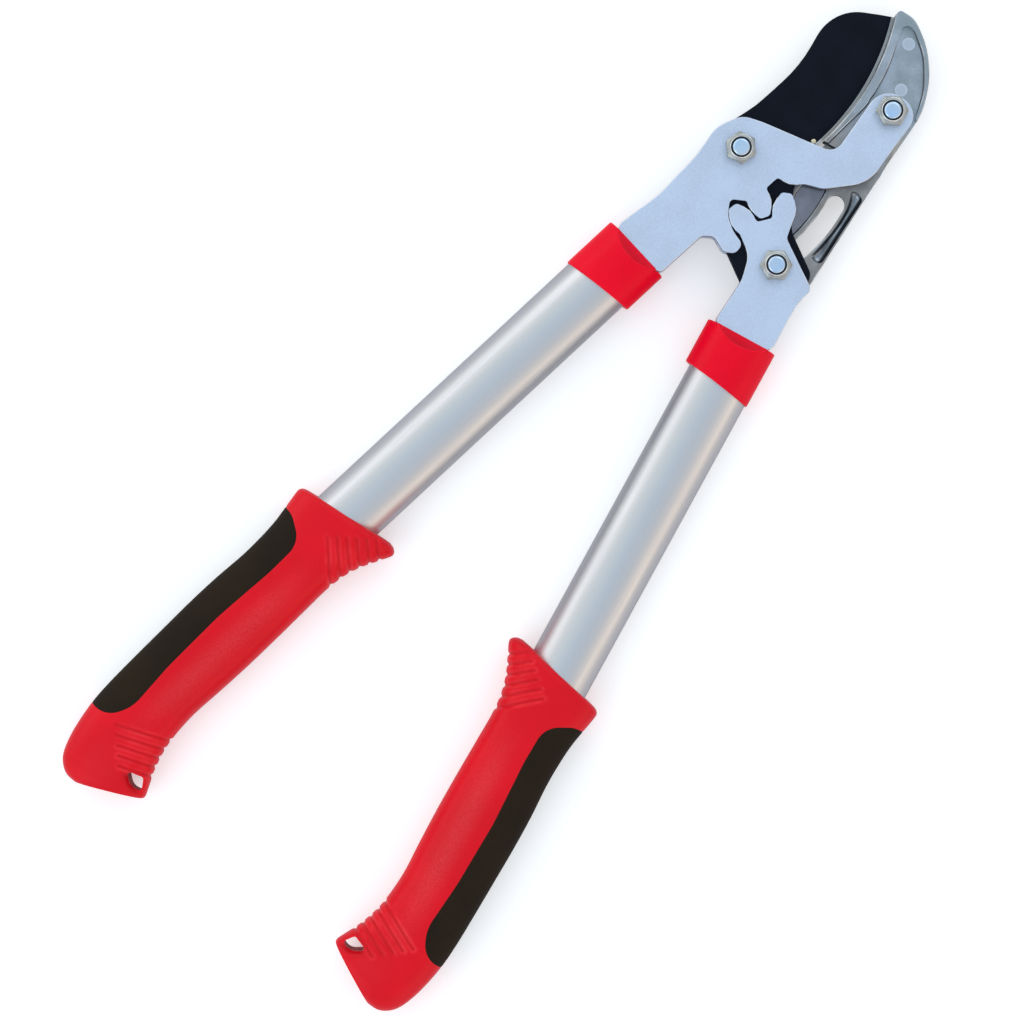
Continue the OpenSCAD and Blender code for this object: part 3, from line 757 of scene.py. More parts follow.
@finish("Tumbled Casting")
def cast_metal(f):
    """Die-cast jaw: tumbled grey skin, recesses in the arm smoother and darkened by painted shade, rims
    bright from wear and a painted highlight.
    """
    colour = tuple(colours().casting)
    mottle = f.mottle(1500.0, 90.0, 0.4)
    wear_and_painted_light = f.wear_and_painted_light(90.0, 0.95)
    x, y, z = f.parts(f.place)
    off_back = f.ramp(z, 10.9 * MM, 11.2 * MM)
    on_arm = f.ramp(x, 27.0 * MM, 22.0 * MM)
    recess = f.product(off_back, f.ramp(z, 14.1 * MM, 13.6 * MM), on_arm)
    patch = f.ramp(f.noise(f.place, 70.0, 3.0, 0.6), 0.36, 0.66)

    base = f.shades(mottle[0], colour, 0.86, 1.1)
    base = f.tint(patch, base, scaled(colour, 0.76, 0.80, 0.76))
    dull = scaled(colour, 0.86, 0.74, 0.64)
    arm = f.shades(patch, dull, 1.05, 0.7)
    base = f.tint(f.ramp(x, 50.0 * MM, 24.0 * MM), base, arm)
    # The recesses in the arm take a darker colour, which is painted shade, and a smoother, glossier skin.
    smooth = scaled(colour, 0.66, 0.59, 0.60)
    base = f.tint(recess, base, f.shades(patch, smooth, 1.0, 0.74))

    # In the channel beside the slot, painted shade darkens the outer wall and a painted highlight lightens
    # the rest; the bottom is set a little darker, with dark patches.
    near_edge = f.ramp(y, -50.3 * MM, -51.1 * MM)
    sunk = f.product(f.ramp(z, 14.55 * MM, 14.3 * MM), on_arm, near_edge, off_back)
    inward = f.maths("ADD", f.maths("SUBTRACT", y, f.maths("MULTIPLY", x, CHANNEL_LEAN)), 60.6 * MM)
    channel_shade_and_highlight = f.shades(f.ramp(inward, 2.3 * MM, 1.5 * MM), colour, 1.1, 0.12)
    base = f.tint(sunk, base, channel_shade_and_highlight)
    bottom = f.product(sunk, f.ramp(z, 13.8 * MM, 12.6 * MM), f.ramp(inward, 1.5 * MM, 2.3 * MM))
    base = f.tint(bottom, base, f.shades(patch, colour, 0.95, 0.34))

    # Painted shade in the filleted inner corners.
    base = f.tint(wear_and_painted_light[1], base, scaled(colour, 0.3))
    for mark in EJECTOR_MARKS:
        away = f.vector("DISTANCE", f.place, mark)
        base = f.tint(f.ramp(away, 3.15 * MM, 2.75 * MM), base, scaled(colour, 1.42))
        base = f.tint(f.ramp(away, 2.5 * MM, 2.1 * MM), base, scaled(colour, 1.25))
    f.dress(
        Base_Color=f.tint(wear_and_painted_light[0], base, (0.68, 0.70, 0.72)),
        Roughness=f.mix(recess, f.mix(mottle[0], 0.42, 0.3), 0.22),
        Metallic=1.0,
    )
    f.bump(mottle[1], 0.13 * MM)


@finish("Black Blade Coating")
def blade_coating(f):
    """Black low-friction coating, with a line of ground steel along the edge's arc."""
    colour = tuple(colours().coating)
    mottle = f.mottle(1800.0, 70.0, 0.5)
    reach = f.vector("DISTANCE", f.vector("MULTIPLY", f.place, (1.0, 1.0, 0.0)), EDGE_CENTRE)
    x = f.parts(f.place)[0]
    ground = f.product(f.ramp(reach, 108.95 * MM, 109.15 * MM), f.ramp(x, 12.0 * MM, 14.5 * MM))
    base = f.shades(mottle[0], colour, 0.8, 1.3)
    base = f.tint(f.wear_and_painted_light(160.0, 0.35)[0], base, (0.10, 0.10, 0.105))
    f.dress(
        Base_Color=f.tint(ground, base, (0.62, 0.62, 0.61)),
        Metallic=ground,
        Roughness=f.mix(ground, f.mix(mottle[0], 0.5, 0.4), 0.3),
        Specular_IOR_Level=0.09,
    )
    f.bump(mottle[1], 0.03 * MM, 0.4)


@finish("Satin Drawn Tube")
def satin_tube(f):
    """Anodised aluminium drawn along the tube."""
    colour = tuple(colours().tube)
    grain = f.scuffs(f.along(), (18.0, 2600.0, 2600.0), 0.5)
    mottle = f.mottle(1600.0, 40.0, 0.5)
    f.dress(
        Base_Color=f.shades(grain, colour, 1.0, 0.97),
        Roughness=f.mix(grain, f.mix(mottle[0], 0.37, 0.32), 0.42),
        Metallic=1.0,
    )
    f.bump(grain, 0.006 * MM, 0.2)


def moulded_red(f, colour, fine, wear_and_highlight):
    """Mottle and colour of red plastic: a fine spark-eroded skin, pale scuffs, rubbed corners and a painted
    highlight on grip ribs, and painted shade in grooves and corners.
    """
    mottle = f.mottle(fine, 28.0, 0.3)
    wear_and_painted_light = f.wear_and_painted_light(70.0, wear_and_highlight)
    scuffs = f.scuffs(f.along(), (150.0, 1400.0, 700.0), 0.69)
    # Paler where corners are worn or scuffed, and where a painted highlight marks the grip ribs.
    rubbed_and_highlit = f.maths("MAXIMUM", wear_and_painted_light[0], f.maths("MULTIPLY", scuffs, 0.3))
    base = f.shades(mottle[0], colour, 0.94, 1.06)
    base = f.tint(rubbed_and_highlit, base, tuple(min(1.0, c * 1.15 + 0.02) for c in colour))
    # Darker by painted shade where the mesh marks inner corners, grooves and the hang hole's lip.
    return mottle, f.tint(f.maths("MULTIPLY", wear_and_painted_light[1], 0.4), base, scaled(colour, 0.4))


@finish("Red Grip Plastic")
def red_grip(f):
    """Satin red, with the sheen of handling along the middle."""
    mottle, base = moulded_red(f, tuple(colours().grip), 1300.0, 0.8)
    x, w, _ = f.parts(f.along())
    band = f.ramp(f.maths("ABSOLUTE", f.maths("ADD", w, 6.2 * MM)), 9.0 * MM, 0.0)
    held = f.product(f.ramp(x, 200.0 * MM, 240.0 * MM), f.ramp(x, 330.0 * MM, 285.0 * MM), band)
    f.dress(
        Base_Color=base,
        Roughness=f.mix(mottle[0], 0.33, 0.42),
        Specular_IOR_Level=0.2,
        Coat_Weight=f.product(held, f.mix(f.ramp(mottle[1], 0.35, 0.65), 0.35, 0.8)),
        Coat_Roughness=0.34,
    )
    f.bump(mottle[1], 0.07 * MM)


@finish("Red Collar Plastic")
def red_collar(f):
    """Smooth bright red, with painted shade on the slope of the mouth."""
    colour = tuple(colours().collar)
    mottle, base = moulded_red(f, colour, 900.0, 0.25)
    x, _, z = f.parts(f.along())
    # Painted shade on the slope of the mouth, strongest away from the mouth.
    over = f.maths("SUBTRACT", f.maths("ABSOLUTE", z), f.maths("MULTIPLY", x, MOUTH_SLOPE))
    painted_slope_shade = f.ramp(f.maths("SUBTRACT", over, MOUTH_HEIGHT * MM), -0.45 * MM, -0.1 * MM)
    deep = f.mix(f.ramp(x, -1.0 * MM, 5.0 * MM), 0.15, 0.7)
    f.dress(
        Base_Color=f.tint(f.product(painted_slope_shade, deep), base, scaled(colour, 0.66)),
        Roughness=f.mix(mottle[0], 0.28, 0.36),
        Specular_IOR_Level=0.12,
    )
    f.bump(mottle[1], 0.03 * MM)


@finish("Soft Black Insert")
def soft_insert(f):
    """Matte black overmoulding with a leathery grain."""
    colour = tuple(colours().insert)
    mottle = f.mottle(1300.0, 35.0, 0.35)
    scuffs = f.scuffs(f.along(), (260.0, 900.0, 900.0), 0.68)
    base = f.shades(mottle[0], colour, 0.82, 1.25)
    f.dress(
        Base_Color=f.tint(scuffs, base, scaled(colour, 1.9)),
        Roughness=f.mix(mottle[0], 0.62, 0.74),
        Specular_IOR_Level=0.12,
    )
    f.bump(mottle[1], 0.1 * MM, 0.6)


@finish("Pale Floor")
def pale_floor(f):
    """Matte floor, white to the camera outside the tool's shadow and duller in the tool's own reflections."""
    pale = bpy.context.scene.lopper_stage.floor_shade
    mottle = f.mottle(300.0, 3.0, 0.3)
    f.dress(
        Base_Color=f.shades(mottle[0], (pale,) * 3, 0.99, 1.01),
        Roughness=0.9,
        Specular_IOR_Level=0.0,
    )
    ray = f.add("ShaderNodeLightPath").outputs
    matte = f.shader.outputs[0]
    glow = f.add("ShaderNodeEmission", (1, 1, 1), 0.36).outputs[0]
    dull = f.add("ShaderNodeBsdfDiffuse", (0.68, 0.65, 0.67)).outputs[0]
    seen = f.add("ShaderNodeAddShader", matte, glow).outputs[0]
    mirrored = f.add("ShaderNodeMixShader", ray["Is Glossy Ray"], matte, dull).outputs[0]
    both = f.add("ShaderNodeMixShader", ray["Is Camera Ray"], mirrored, seen).outputs[0]
    f.feed(f.out.inputs[0], both)


# Pieces


class LOPPER_OT_blade(Operator):
    """Rolls the blade's corners and coats it, and sets the heel stop"""

    bl_idname = "lopper.blade"
    bl_label = "Blade"

    def execute(self, context):
        mesh = softened("blade", 0.22 * MM, 2)
        weighted(new_piece("coated_blade", mesh, "blade", blade_coating(), ["blade"]))
        dome = [(0, 18.75), (1.35, 18.75), (1.3, 19.1), (1.0, 19.4), (0.5, 19.55), (0, 19.6)]
        stop = turned_mesh("heel_stop", [(r * MM, z * MM) for r, z in dome], HEEL_STOP, steps=32)
        new_piece("brass_heel_stop", stop, "blade", stop_brass())
        return {"FINISHED"}


class LOPPER_OT_anvil(Operator):
    """Rounds the casting's corners and gives it its tumbled skin"""

    bl_idname = "lopper.anvil"
    bl_label = "Anvil Jaw"

    def execute(self, context):
        mesh = softened("anvil_jaw", 0.45 * MM, 3, fillets=True)
        mesh = carved(mesh, [(self.channel(), "DIFFERENCE"), (self.run_out(), "DIFFERENCE")])
        shade(mesh, 48)
        weighted(new_piece("cast_anvil_jaw", mesh, "anvil", cast_metal(), ["anvil_jaw"]))
        return {"FINISHED"}

    @staticmethod
    def channel(points=25):
        """Cutter that hollows a round channel between the slot and the arm's outer edge."""
        start, end, top, depth, ends = -19.5, 17.5, 14.82, 2.5, 2.6
        beside_slot = ((-19.5, -55.7), (-16, -56.15), (-12, -56.6), (-8, -56.8), (-4, -56.85), (0, -56.7))
        past_slot = ((4, -56.35), (8, -55.85), (11, -55.0), (14, -53.5), (17.5, -51.4))
        slot_side = np.polyfit(*np.array(beside_slot + past_slot).T, 5)
        sweep = np.linspace(0, math.pi, points)
        lead = ends * (1 - np.cos(np.linspace(0.12, math.pi / 2, 10)))
        middle = np.linspace(start + ends, end - ends, 40)[1:-1]
        rings = []
        for x in np.concatenate((start + lead, middle, (end - lead)[::-1])):
            inner = np.polyval(slot_side, x)
            outer = -59.2 + (x - 16.8) * CHANNEL_LEAN
            close = max(0, 1 - min(x - start, end - x) / ends)
            full = math.sqrt(1 - close**2)
            across = (inner + outer) / 2 + np.cos(sweep) * (inner - outer) / 2 * full
            floor = top - depth * full * np.sin(sweep) ** 1.2
            rings.append(np.column_stack((np.full(points, x), across, floor)))
        return loft("channel_cutter", np.array(rings) * MM, True)

    @staticmethod
    def run_out():
        """Cutter that lets the thick web run out into the arm along its outer edge."""
        outside, over = -75.0, 26.0
        rings = []
        for x, floor in ((29.8, 14.62), (30.8, 14.62), (58.6, 18.78)):
            edge = -56.5 - (59.3 - x) * 0.0852
            inner = edge + 4.2
            rings.append([(x, outside, floor), (x, inner, floor), (x, inner, over), (x, outside, over)])
        return loft("run_out_cutter", np.array(rings) * MM, False)


class LOPPER_OT_plates(Operator):
    """Rolls the pressed plates' corners and plates them, and finishes what lies between them"""

    bl_idname = "lopper.plates"
    bl_label = "Geared Plates"

    def execute(self, context):
        nodes = frame["nodes"]
        for side in SIDES:
            body = side + "_handle"
            for node in (side + "_front_plate", side + "_rear_plate"):
                mesh = softened(node, 0.38 * MM, 3)
                weighted(new_piece("zinc_" + node, mesh, body, zinc_plate(), [node]))
            coat(nodes[side + "_tang_block"].data, cast_metal())
            coat(nodes[side + "_rivet"].data, bright_zinc())
        coat(nodes["blade_spacer"].data, bright_zinc())
        return {"FINISHED"}


class LOPPER_OT_fasteners(Operator):
    """Turns bolts, lock nuts, lock rings and washers for the three pivots"""

    bl_idname = "lopper.fasteners"
    bl_label = "Pivot Fasteners"

    def execute(self, context):
        # Lathe profiles of radius and height in millimetres; those with True follow the hexagon.
        flats, corner, head = 13.0, 7.6, 5.3
        shank, bore = 4.0, 4.05
        chamfer = math.tan(math.radians(30))
        cone = [(6.05 + d / chamfer, d) for d in (0.0, 0.12, 0.25, 0.4, 0.55, 0.7, 0.85, 1.0)]
        bolt = [(0, 0.0), cone[0], *((r, d, True) for r, d in cone[1:])]
        bolt += [(corner, head - 0.1, True), (corner - 0.15, head, True), (shank, head), (shank, 30.05)]
        bolt += [(3.86, 30.35), (3.5, 30.7), (3.2, 30.8), (2.4, 30.79), (1.2, 30.72), (0, 30.7)]
        nut = [(bore, 0.0), (corner - 0.2, 0.0, True), (corner, 0.15, True)]
        nut += [(r, NUT_HEXAGON - d, True) for r, d in reversed(cone)]
        nut += [(5.62, 5.62), (5.5, 5.75), (5.5, 6.9), (5.4, 7.3), (5.15, 7.62), (4.95, 7.74)]
        nut += [(4.78, 7.7), (4.7, 7.5), (4.7, 6.9), (bore, 6.9)]
        ring = [(bore, 6.9), (4.69, 6.9), (4.69, 7.2), (4.4, 7.32), (bore, 7.2)]
        washer = [(bore, 0.0), (8.3, 0.0), (8.5, 0.2), (8.5, 1.4), (8.42, 1.54), (8.25, 1.6), (4.3, 1.6)]
        washer += [(bore, 1.4)]
        for name, at, body, turn in (
            ("main", MAIN_PIVOT, "upper_handle", 11.9),
            ("anvil", ANVIL_PIVOT, "upper_handle", 37.9),
            ("gear", GEAR_PIVOT, "lower_handle", 37.9),
        ):
            for label, profile, base, material, slot, closed in (
                ("bolt", bolt, 0.0, bolt_zinc(), "zinc_fastener", False),
                ("nut", nut, NUT_FOOT, bright_zinc(), "zinc_fastener", True),
                ("lock_ring", ring, NUT_FOOT, lock_ring_plastic(), "soft_insert", True),
                ("washer", washer, head, bright_zinc(), "zinc_fastener", True),
            ):
                sized = [(r * MM, (z + base) * MM, *hexed) for r, z, *hexed in profile]
                mesh = turned_mesh(name + "_" + label, sized, at, flats * MM, math.radians(turn), closed)
                node = name + "_pivot_" + label
                replaced = [node] if node in frame["nodes"] else []
                new_piece("bright_" + name + "_" + label, mesh, body, material, replaced)
        return {"FINISHED"}


def oval(width, depth, steps=24):
    """Points of the tube's oval of four arcs."""
    end = depth * 0.32
    side = ((width / 2 - end) ** 2 + (depth / 2) ** 2 - end**2) / (depth - end * 2)
    low = side - depth / 2
    meet = math.atan2(low, width / 2 - end)
    quarter = [(width / 2 - end + end * math.cos(t), end * math.sin(t)) for t in np.linspace(0, meet, steps)]
    flank = np.linspace(meet, math.pi / 2, steps)[1:]
    quarter = np.array(quarter + [(side * math.cos(t), side * math.sin(t) - low) for t in flank])
    half = np.vstack((quarter, (quarter * (-1, 1))[-2::-1]))
    return np.vstack((half, (half * (1, -1))[-2:0:-1]))


class LOPPER_OT_tubes(Operator):
    """Draws the oval tubes"""

    bl_idname = "lopper.tubes"
    bl_label = "Oval Tubes"

    def execute(self, context):
        sizes = context.scene.lopper_handle
        outer = oval(sizes.tube_width, sizes.tube_depth)
        inner = oval(sizes.tube_width - sizes.tube_wall * 2, sizes.tube_depth - sizes.tube_wall * 2)
        for side in SIDES:
            handle = Handle(side)
            near, far = 5.0 * MM, handle.tube_open + 110.0 * MM
            rings = [np.insert(outer, 0, x, axis=1) for x in np.linspace(near, far, 60)]
            rings += [np.insert(inner, 0, x, axis=1) for x in np.linspace(far, near, 12)]
            node = side + "_tube"
            mesh = loft(node + "_drawn", handle.to_part(np.stack(rings)), handle.out < 0, caps=False)
            shade(handle.mark(mesh), 40)
            new_piece("satin_" + node, mesh, handle.body, satin_tube(), [node])
        return {"FINISHED"}


class LOPPER_OT_collars(Operator):
    """Moulds the collars: a smooth oval with a sloped mouth and a slanted rear end"""

    bl_idname = "lopper.collars"
    bl_label = "Collars"

    def execute(self, context):
        skin = oval(34.9 * MM, 27.5 * MM, 40) + (-0.8 * MM, 0.0)
        bore = oval(31.7 * MM, 24.3 * MM, 40)
        rear = np.array([(27.6 + (w - 16.65) * 0.1584, w) for w in (-30, 30)] + [(50, 30), (50, -30)]) * MM
        slope = [(-1.0, MOUTH_HEIGHT - MOUTH_SLOPE), (7.4, MOUTH_HEIGHT + MOUTH_SLOPE * 7.4)]
        lip = np.array(slope + [(7.4, 25.0), (-1.0, 25.0)]) * MM
        for side in SIDES:
            handle = Handle(side)
            # How far the window's outer corners are moved inwards.
            sag = (1.7 if side == "upper" else 0.6) * MM
            window = [(-2.5, 15.1), (-2.0, 15.1), (4.0, 8.9), (7.0, 8.9)]
            window += [(7.0, -8.9), (4.0, -8.9), (-1.0, -15.1), (-2.5, -15.1)]
            window = np.array([(x * MM, w * MM - (sag if abs(w) > 10 else 0.0)) for x, w in window])
            cutters = [
                self.block(handle, lip, 1, -30 * MM, 30 * MM),
                self.block(handle, lip * (1, -1), 1, -30 * MM, 30 * MM),
                self.block(handle, rear, 2, -20 * MM, 20 * MM),
                self.block(handle, window, 2, -8.2 * MM, 8.2 * MM),
                self.block(handle, bore, 0, 5 * MM, 60 * MM),
            ]
            whole = self.block(handle, skin, 0, 0.0, 40 * MM)
            mesh = self.rolled(handle, carved(whole, [(cutter, "DIFFERENCE") for cutter in cutters]), skin)
            node = side + "_collar"
            handle.mark(mesh)
            weighted(new_piece("red_" + node, mesh, handle.body, red_collar(), [node]))
        return {"FINISHED"}

    @staticmethod
    def block(handle, outline, axis, low, high):
        """A solid of one outline along one of the handle's axes, its faces turned outwards."""
        levels = np.stack([np.insert(outline, axis, at, axis=1) for at in (low, high)])
        mesh = loft("collar_block", handle.to_part(levels), False)
        bm = bmesh.new()
        bm.from_mesh(mesh)
        bmesh.ops.recalc_face_normals(bm, faces=bm.faces)
        return finished(bm, mesh)

    @staticmethod
    def rolled(handle, mesh, skin):
        """Rounds the corners that lie on the collar's skin."""
        bm = bmesh.new()
        bm.from_mesh(mesh)
        bmesh.ops.remove_doubles(bm, verts=bm.verts, dist=0.002 * MM)
        bmesh.ops.dissolve_limit(bm, angle_limit=math.radians(0.3), verts=bm.verts, edges=bm.edges)
        wear_and_painted_light = bm.faces.layers.float.new("edge_wear_and_highlight")
        bm.edges.ensure_lookup_table()
        middles = np.array([(e.verts[0].co + e.verts[1].co) / 2 for e in bm.edges])
        on_skin = np.abs(outline_distance(handle.to_local(middles)[:, 1:], skin)) < 0.06 * MM
        edges = [
            e
            for e, near in zip(bm.edges, on_skin)
            if near and len(e.link_faces) == 2 and e.calc_face_angle() > math.radians(25)
        ]
        for f in rolled_over(bm, edges, 0.7 * MM, 4):
            f[wear_and_painted_light] = 1.0
        # Cuts across the long faces keep the shading even along the collar.
        axis = handle.to_part(np.array((1.0, 0, 0))) - handle.to_part(np.zeros(3))
        for x in (1.0, 2.0, 3.0, 4.5, 6.5, 9.0, 12.0, 15.0, 18.0, 20.5):
            place = handle.to_part(np.array((x * MM, 0, 0)))
            whole = bm.verts[:] + bm.edges[:] + bm.faces[:]
            bmesh.ops.bisect_plane(bm, geom=whole, dist=0.001 * MM, plane_co=place, plane_no=axis)
        return finished(bm, mesh, 40)


# Stations of a grip from guard to butt: outer edge along and out, inner edge along and out, and depth.
# Those along are shares of the grip's length, those out of its width.
GRIP_STATIONS = np.array(
    [
        (0.064, 0.536, 0.002, -0.568, 0.8),
        (0.069, 0.581, 0.005, -0.647, 0.93),
        (0.08, 0.609, 0.019, -0.697, 0.99),
        (0.104, 0.593, 0.05, -0.641, 1),
        (0.143, 0.556, 0.099, -0.545, 1),
        (0.181, 0.525, 0.143, -0.49, 1),
        (0.231, 0.505, 0.198, -0.465, 1),
        (0.297, 0.497, 0.275, -0.472, 1),
        (0.385, 0.513, 0.374, -0.485, 1),
        (0.473, 0.513, 0.473, -0.492, 1),
        (0.571, 0.5, 0.571, -0.487, 1),
        (0.67, 0.485, 0.659, -0.477, 1),
        (0.758, 0.467, 0.731, -0.505, 1),
        (0.824, 0.437, 0.78, -0.553, 1),
        (0.885, 0.379, 0.83, -0.639, 0.97),
        (0.934, 0.308, 0.865, -0.725, 0.92),
        (0.97, 0.225, 0.887, -0.78, 0.86),
        (0.99, 0.126, 0.894, -0.79, 0.83),
        (0.999, 0.02, 0.899, -0.787, 0.78),
        (0.997, -0.1, 0.902, -0.775, 0.72),
    ]
)
# Power of the rounded box that a grip has as its section.
GRIP_POWER = 2.5
# Corners in the same shares, each with its radius as a share of the width.
INSERT_CORNERS = [
    (0.133, 0.75, 0),
    (0.133, 0.44, 0.25),
    (0.167, 0.14, 0.38),
    (0.27, 0.125, 1),
    (0.44, 0.155, 3),
    (0.62, 0.125, 2),
    (0.756, 0.062, 0.5),
    (0.821, 0.2, 0.5),
    (0.836, 0.75, 0),
]
# From the hang hole's third corner to its first runs the bowed side, which has the broad lip.
HANG_CORNERS = [
    (0.877, -0.412, 0.035),
    (0.859, -0.618, 0.035),
    (0.887, -0.718, 0.035),
    (0.898, -0.595, 0.15),
]
# How many grooves, and the two ends of the first and of the last one.
GUARD_GROOVES = (6, np.array((0.02, -0.44, 0.055, -0.66)), np.array((0.105, -0.03, 0.185, -0.47)))
BUTT_GROOVES = (5, np.array((0.815, 0.04, 0.75, -0.5)), np.array((0.882, -0.33, 0.845, -0.66)))
GROOVE_RUN_OUT = 8 * MM


def grip_station(t):
    """Smooth blend of the stations at position t."""
    k = min(int(t), len(GRIP_STATIONS) - 2)
    f = t - k
    a, b, c, d = (GRIP_STATIONS[min(max(k + i, 0), len(GRIP_STATIONS) - 1)] for i in (-1, 0, 1, 2))
    return (b * 2 + (c - a) * f + (a * 2 - b * 5 + c * 4 - d) * f * f + (b * 3 - a - c * 3 + d) * f**3) / 2


class GripForm:
    """The dense skin of a grip in its handle's frame, with grooves, seam and hole lip worked in."""

    def __init__(self, around=224):
        sizes = bpy.context.scene.lopper_handle
        self.size = np.array((sizes.grip_length, sizes.grip_width))
        self.depth = sizes.grip_depth
        stops = []
        for k in range(len(GRIP_STATIONS) - 1):
            span = np.abs(GRIP_STATIONS[k + 1] - GRIP_STATIONS[k])[[0, 2]].max() * sizes.grip_length
            # Guard and butt carry the grooves, so their mesh is finer.
            fine = 0.42 * MM if k < 6 or k > 10 else 0.8 * MM
            count = max(3, math.ceil(span / fine))
            stops.extend(k + np.arange(count) / count)
        stops.append(len(GRIP_STATIONS) - 1)
        angles = np.linspace(0, 2 * math.pi, around, endpoint=False)
        across, up = (np.sign(a) * np.abs(a) ** (2 / GRIP_POWER) for a in (np.cos(angles), np.sin(angles)))
        rings = []
        for t in stops:
            s = grip_station(t)
            outer, inner = s[0:2] * self.size, s[2:4] * self.size
            flat = (outer + inner) / 2 + np.outer(across, (outer - inner) / 2)
            rings.append(np.column_stack((flat, s[4] * self.depth / 2 * up)))
        self.skin = np.array(rings)
        self.insert = self.corners(INSERT_CORNERS)
        self.hole = self.corners(HANG_CORNERS)
        self.work(sizes)

    def corners(self, shares):
        return rounded([(x * self.size[0], y * self.size[1], r * self.size[1]) for x, y, r in shares])

    def grooves(self, flat, width):
        """How far points lie in the grooves: 1 along a groove's middle, 0 outside it."""
        share = np.zeros(len(flat))
        for count, first, last in (GUARD_GROOVES, BUTT_GROOVES):
            for i in range(count):
                g = first + (last - first) * i / (count - 1)
                a, b = g[0:2] * self.size, g[2:4] * self.size
                d = b + unit(b - a) * GROOVE_RUN_OUT - a
                t = np.clip(((flat - a) @ d) / (d @ d), 0, 1)
                off = np.linalg.norm(flat - a - t[:, None] * d, axis=1) / (width / 2)
                share = np.maximum(share, (1 + np.cos(math.pi * np.minimum(off, 1))) / 2)
        return share

    def lip(self, flat):
        """How far points lie on the hang hole's lip, and whether they are on its bowed side."""
        first, third = (np.array(HANG_CORNERS[i][:2]) * self.size for i in (0, 2))
        beyond = (flat - first) @ unit(np.array((first[1] - third[1], third[0] - first[0])))
        bowed = np.clip(beyond / (1.5 * MM), 0, 1)
        off = outline_distance(flat, self.hole) / ((1.1 + bowed * 1.9) * MM)
        return (1 - np.clip(off, 0, 1)) ** 2, bowed

    def work(self, sizes):
        """Presses grooves, the insert's seam and the hole's lip into the skin."""
        skin = self.skin
        along = np.gradient(skin, axis=0)
        round_ = np.roll(skin, -1, axis=1) - np.roll(skin, 1, axis=1)
        normal = np.cross(along, round_)
        normal /= np.maximum(np.linalg.norm(normal, axis=2, keepdims=True), 1e-12)
        centre = skin.mean(axis=1, keepdims=True)
        if ((skin - centre) * normal).sum() < 0:
            normal = -normal
        flat = skin[..., :2].reshape(-1, 2)
        groove = self.grooves(flat, sizes.groove_width) * sizes.groove_depth
        seam = np.abs(outline_distance(flat, self.insert)) / (0.7 * MM)
        seam = (1 - np.minimum(seam, 1)) ** 2 * sizes.seam_depth
        lip, bowed = self.lip(flat)
        press = np.maximum(np.maximum(groove, seam), lip * (0.55 + bowed * 1.8) * MM)
        self.skin = skin - normal * press.reshape(skin.shape[:2])[..., None]


class LOPPER_OT_grips(Operator):
    """Moulds the two-colour grips"""

    bl_idname = "lopper.grips"
    bl_label = "Grips"

    def execute(self, context):
        form = GripForm()
        width = context.scene.lopper_handle.groove_width
        for side in SIDES:
            handle = Handle(side)
            ahead = np.array((handle.tube_open, 0.0, 0.0))
            skin = handle.to_part(form.skin + ahead)
            insert, hole = (self.block(handle, o, ahead, form.depth) for o in (form.insert, form.hole))
            red, black = (loft(side + label, skin, handle.out > 0) for label in ("_red", "_black"))
            red = carved(red, [(insert, "DIFFERENCE"), (hole, "DIFFERENCE")])
            black = carved(black, [(insert, "INTERSECT")])
            for mesh, label, slot, material, node in (
                (red, "red_", "red_grip", red_grip(), side + "_grip"),
                (black, "soft_", "soft_insert", soft_insert(), side + "_grip_insert"),
            ):
                shade(handle.mark(mesh), 42)
                flat = (handle.to_local(points_of(mesh)) - ahead)[:, :2]
                groove = form.grooves(flat, width)
                # Painted shade deep in the grooves and on the hang hole's bowed lip, and a painted highlight
                # on the ribs beside the grooves.
                rib_highlight = np.clip((form.grooves(flat, width * 1.8) - groove) * 2, 0, 1)
                lip, bowed = form.lip(flat)
                painted_shade = np.maximum(groove**3 * 0.6, np.sqrt(lip) * bowed)
                for name, share in (("painted_crease_shade", painted_shade), ("edge_wear_and_highlight", rib_highlight)):
                    layer = mesh.attributes.new(name, "FLOAT", "POINT")
                    layer.data.foreach_set("value", share.astype(np.float32))
                new_piece(label + node, mesh, handle.body, material, [node])
        return {"FINISHED"}

    @staticmethod
    def block(handle, outline, ahead, high):
        """An upright cutter with the given outline, its faces turned outwards."""
        x, y = outline.T
        turning = (x * np.roll(y, -1) - y * np.roll(x, -1)).sum() > 0
        levels = np.stack([np.insert(outline, 2, z, axis=1) for z in (-high, high)])
        return loft("grip_block", handle.to_part(levels + ahead), turning != (handle.out < 0))


# Stage


# The sky from the lower handle's side, over the top, to the blade's side: warm, blue-grey, bright.
SKY_SHADES = (
    (0.0, (0.78, 0.71, 0.68)),
    (0.10, (1.0, 0.88, 0.78)),
    (0.20, (0.84, 0.81, 0.80)),
    (0.30, (0.70, 0.75, 0.81)),
    (0.50, (0.64, 0.76, 0.89)),
    (0.62, (0.74, 0.85, 0.92)),
    (0.72, (0.90, 0.96, 0.98)),
    (0.90, (1.0, 1.0, 1.0)),
    (1.0, (0.90, 0.90, 0.91)),
)
# Softboxes that face the middle of the view: place from there, size, power and colour.
SOFTBOXES = (
    ("key_softbox", (0.1, 1.35, 0.55), (1.7, 0.6), 2.2, (1.0, 0.99, 0.97)),
    ("warm_softbox", (-0.1, -1.35, 0.40), (1.7, 0.5), 1.4, (1.0, 0.84, 0.66)),
    ("butt_softbox", (-1.25, 0.3, 1.2), (0.9, 1.5), 3.4, (1.0, 0.99, 0.98)),
    ("head_softbox", (1.3, 0.2, 1.1), (0.9, 1.5), 2.6, (1.0, 0.99, 0.98)),
)
HEAD_FRONT = 18 * MM
SENSOR_WIDTH = 36.0


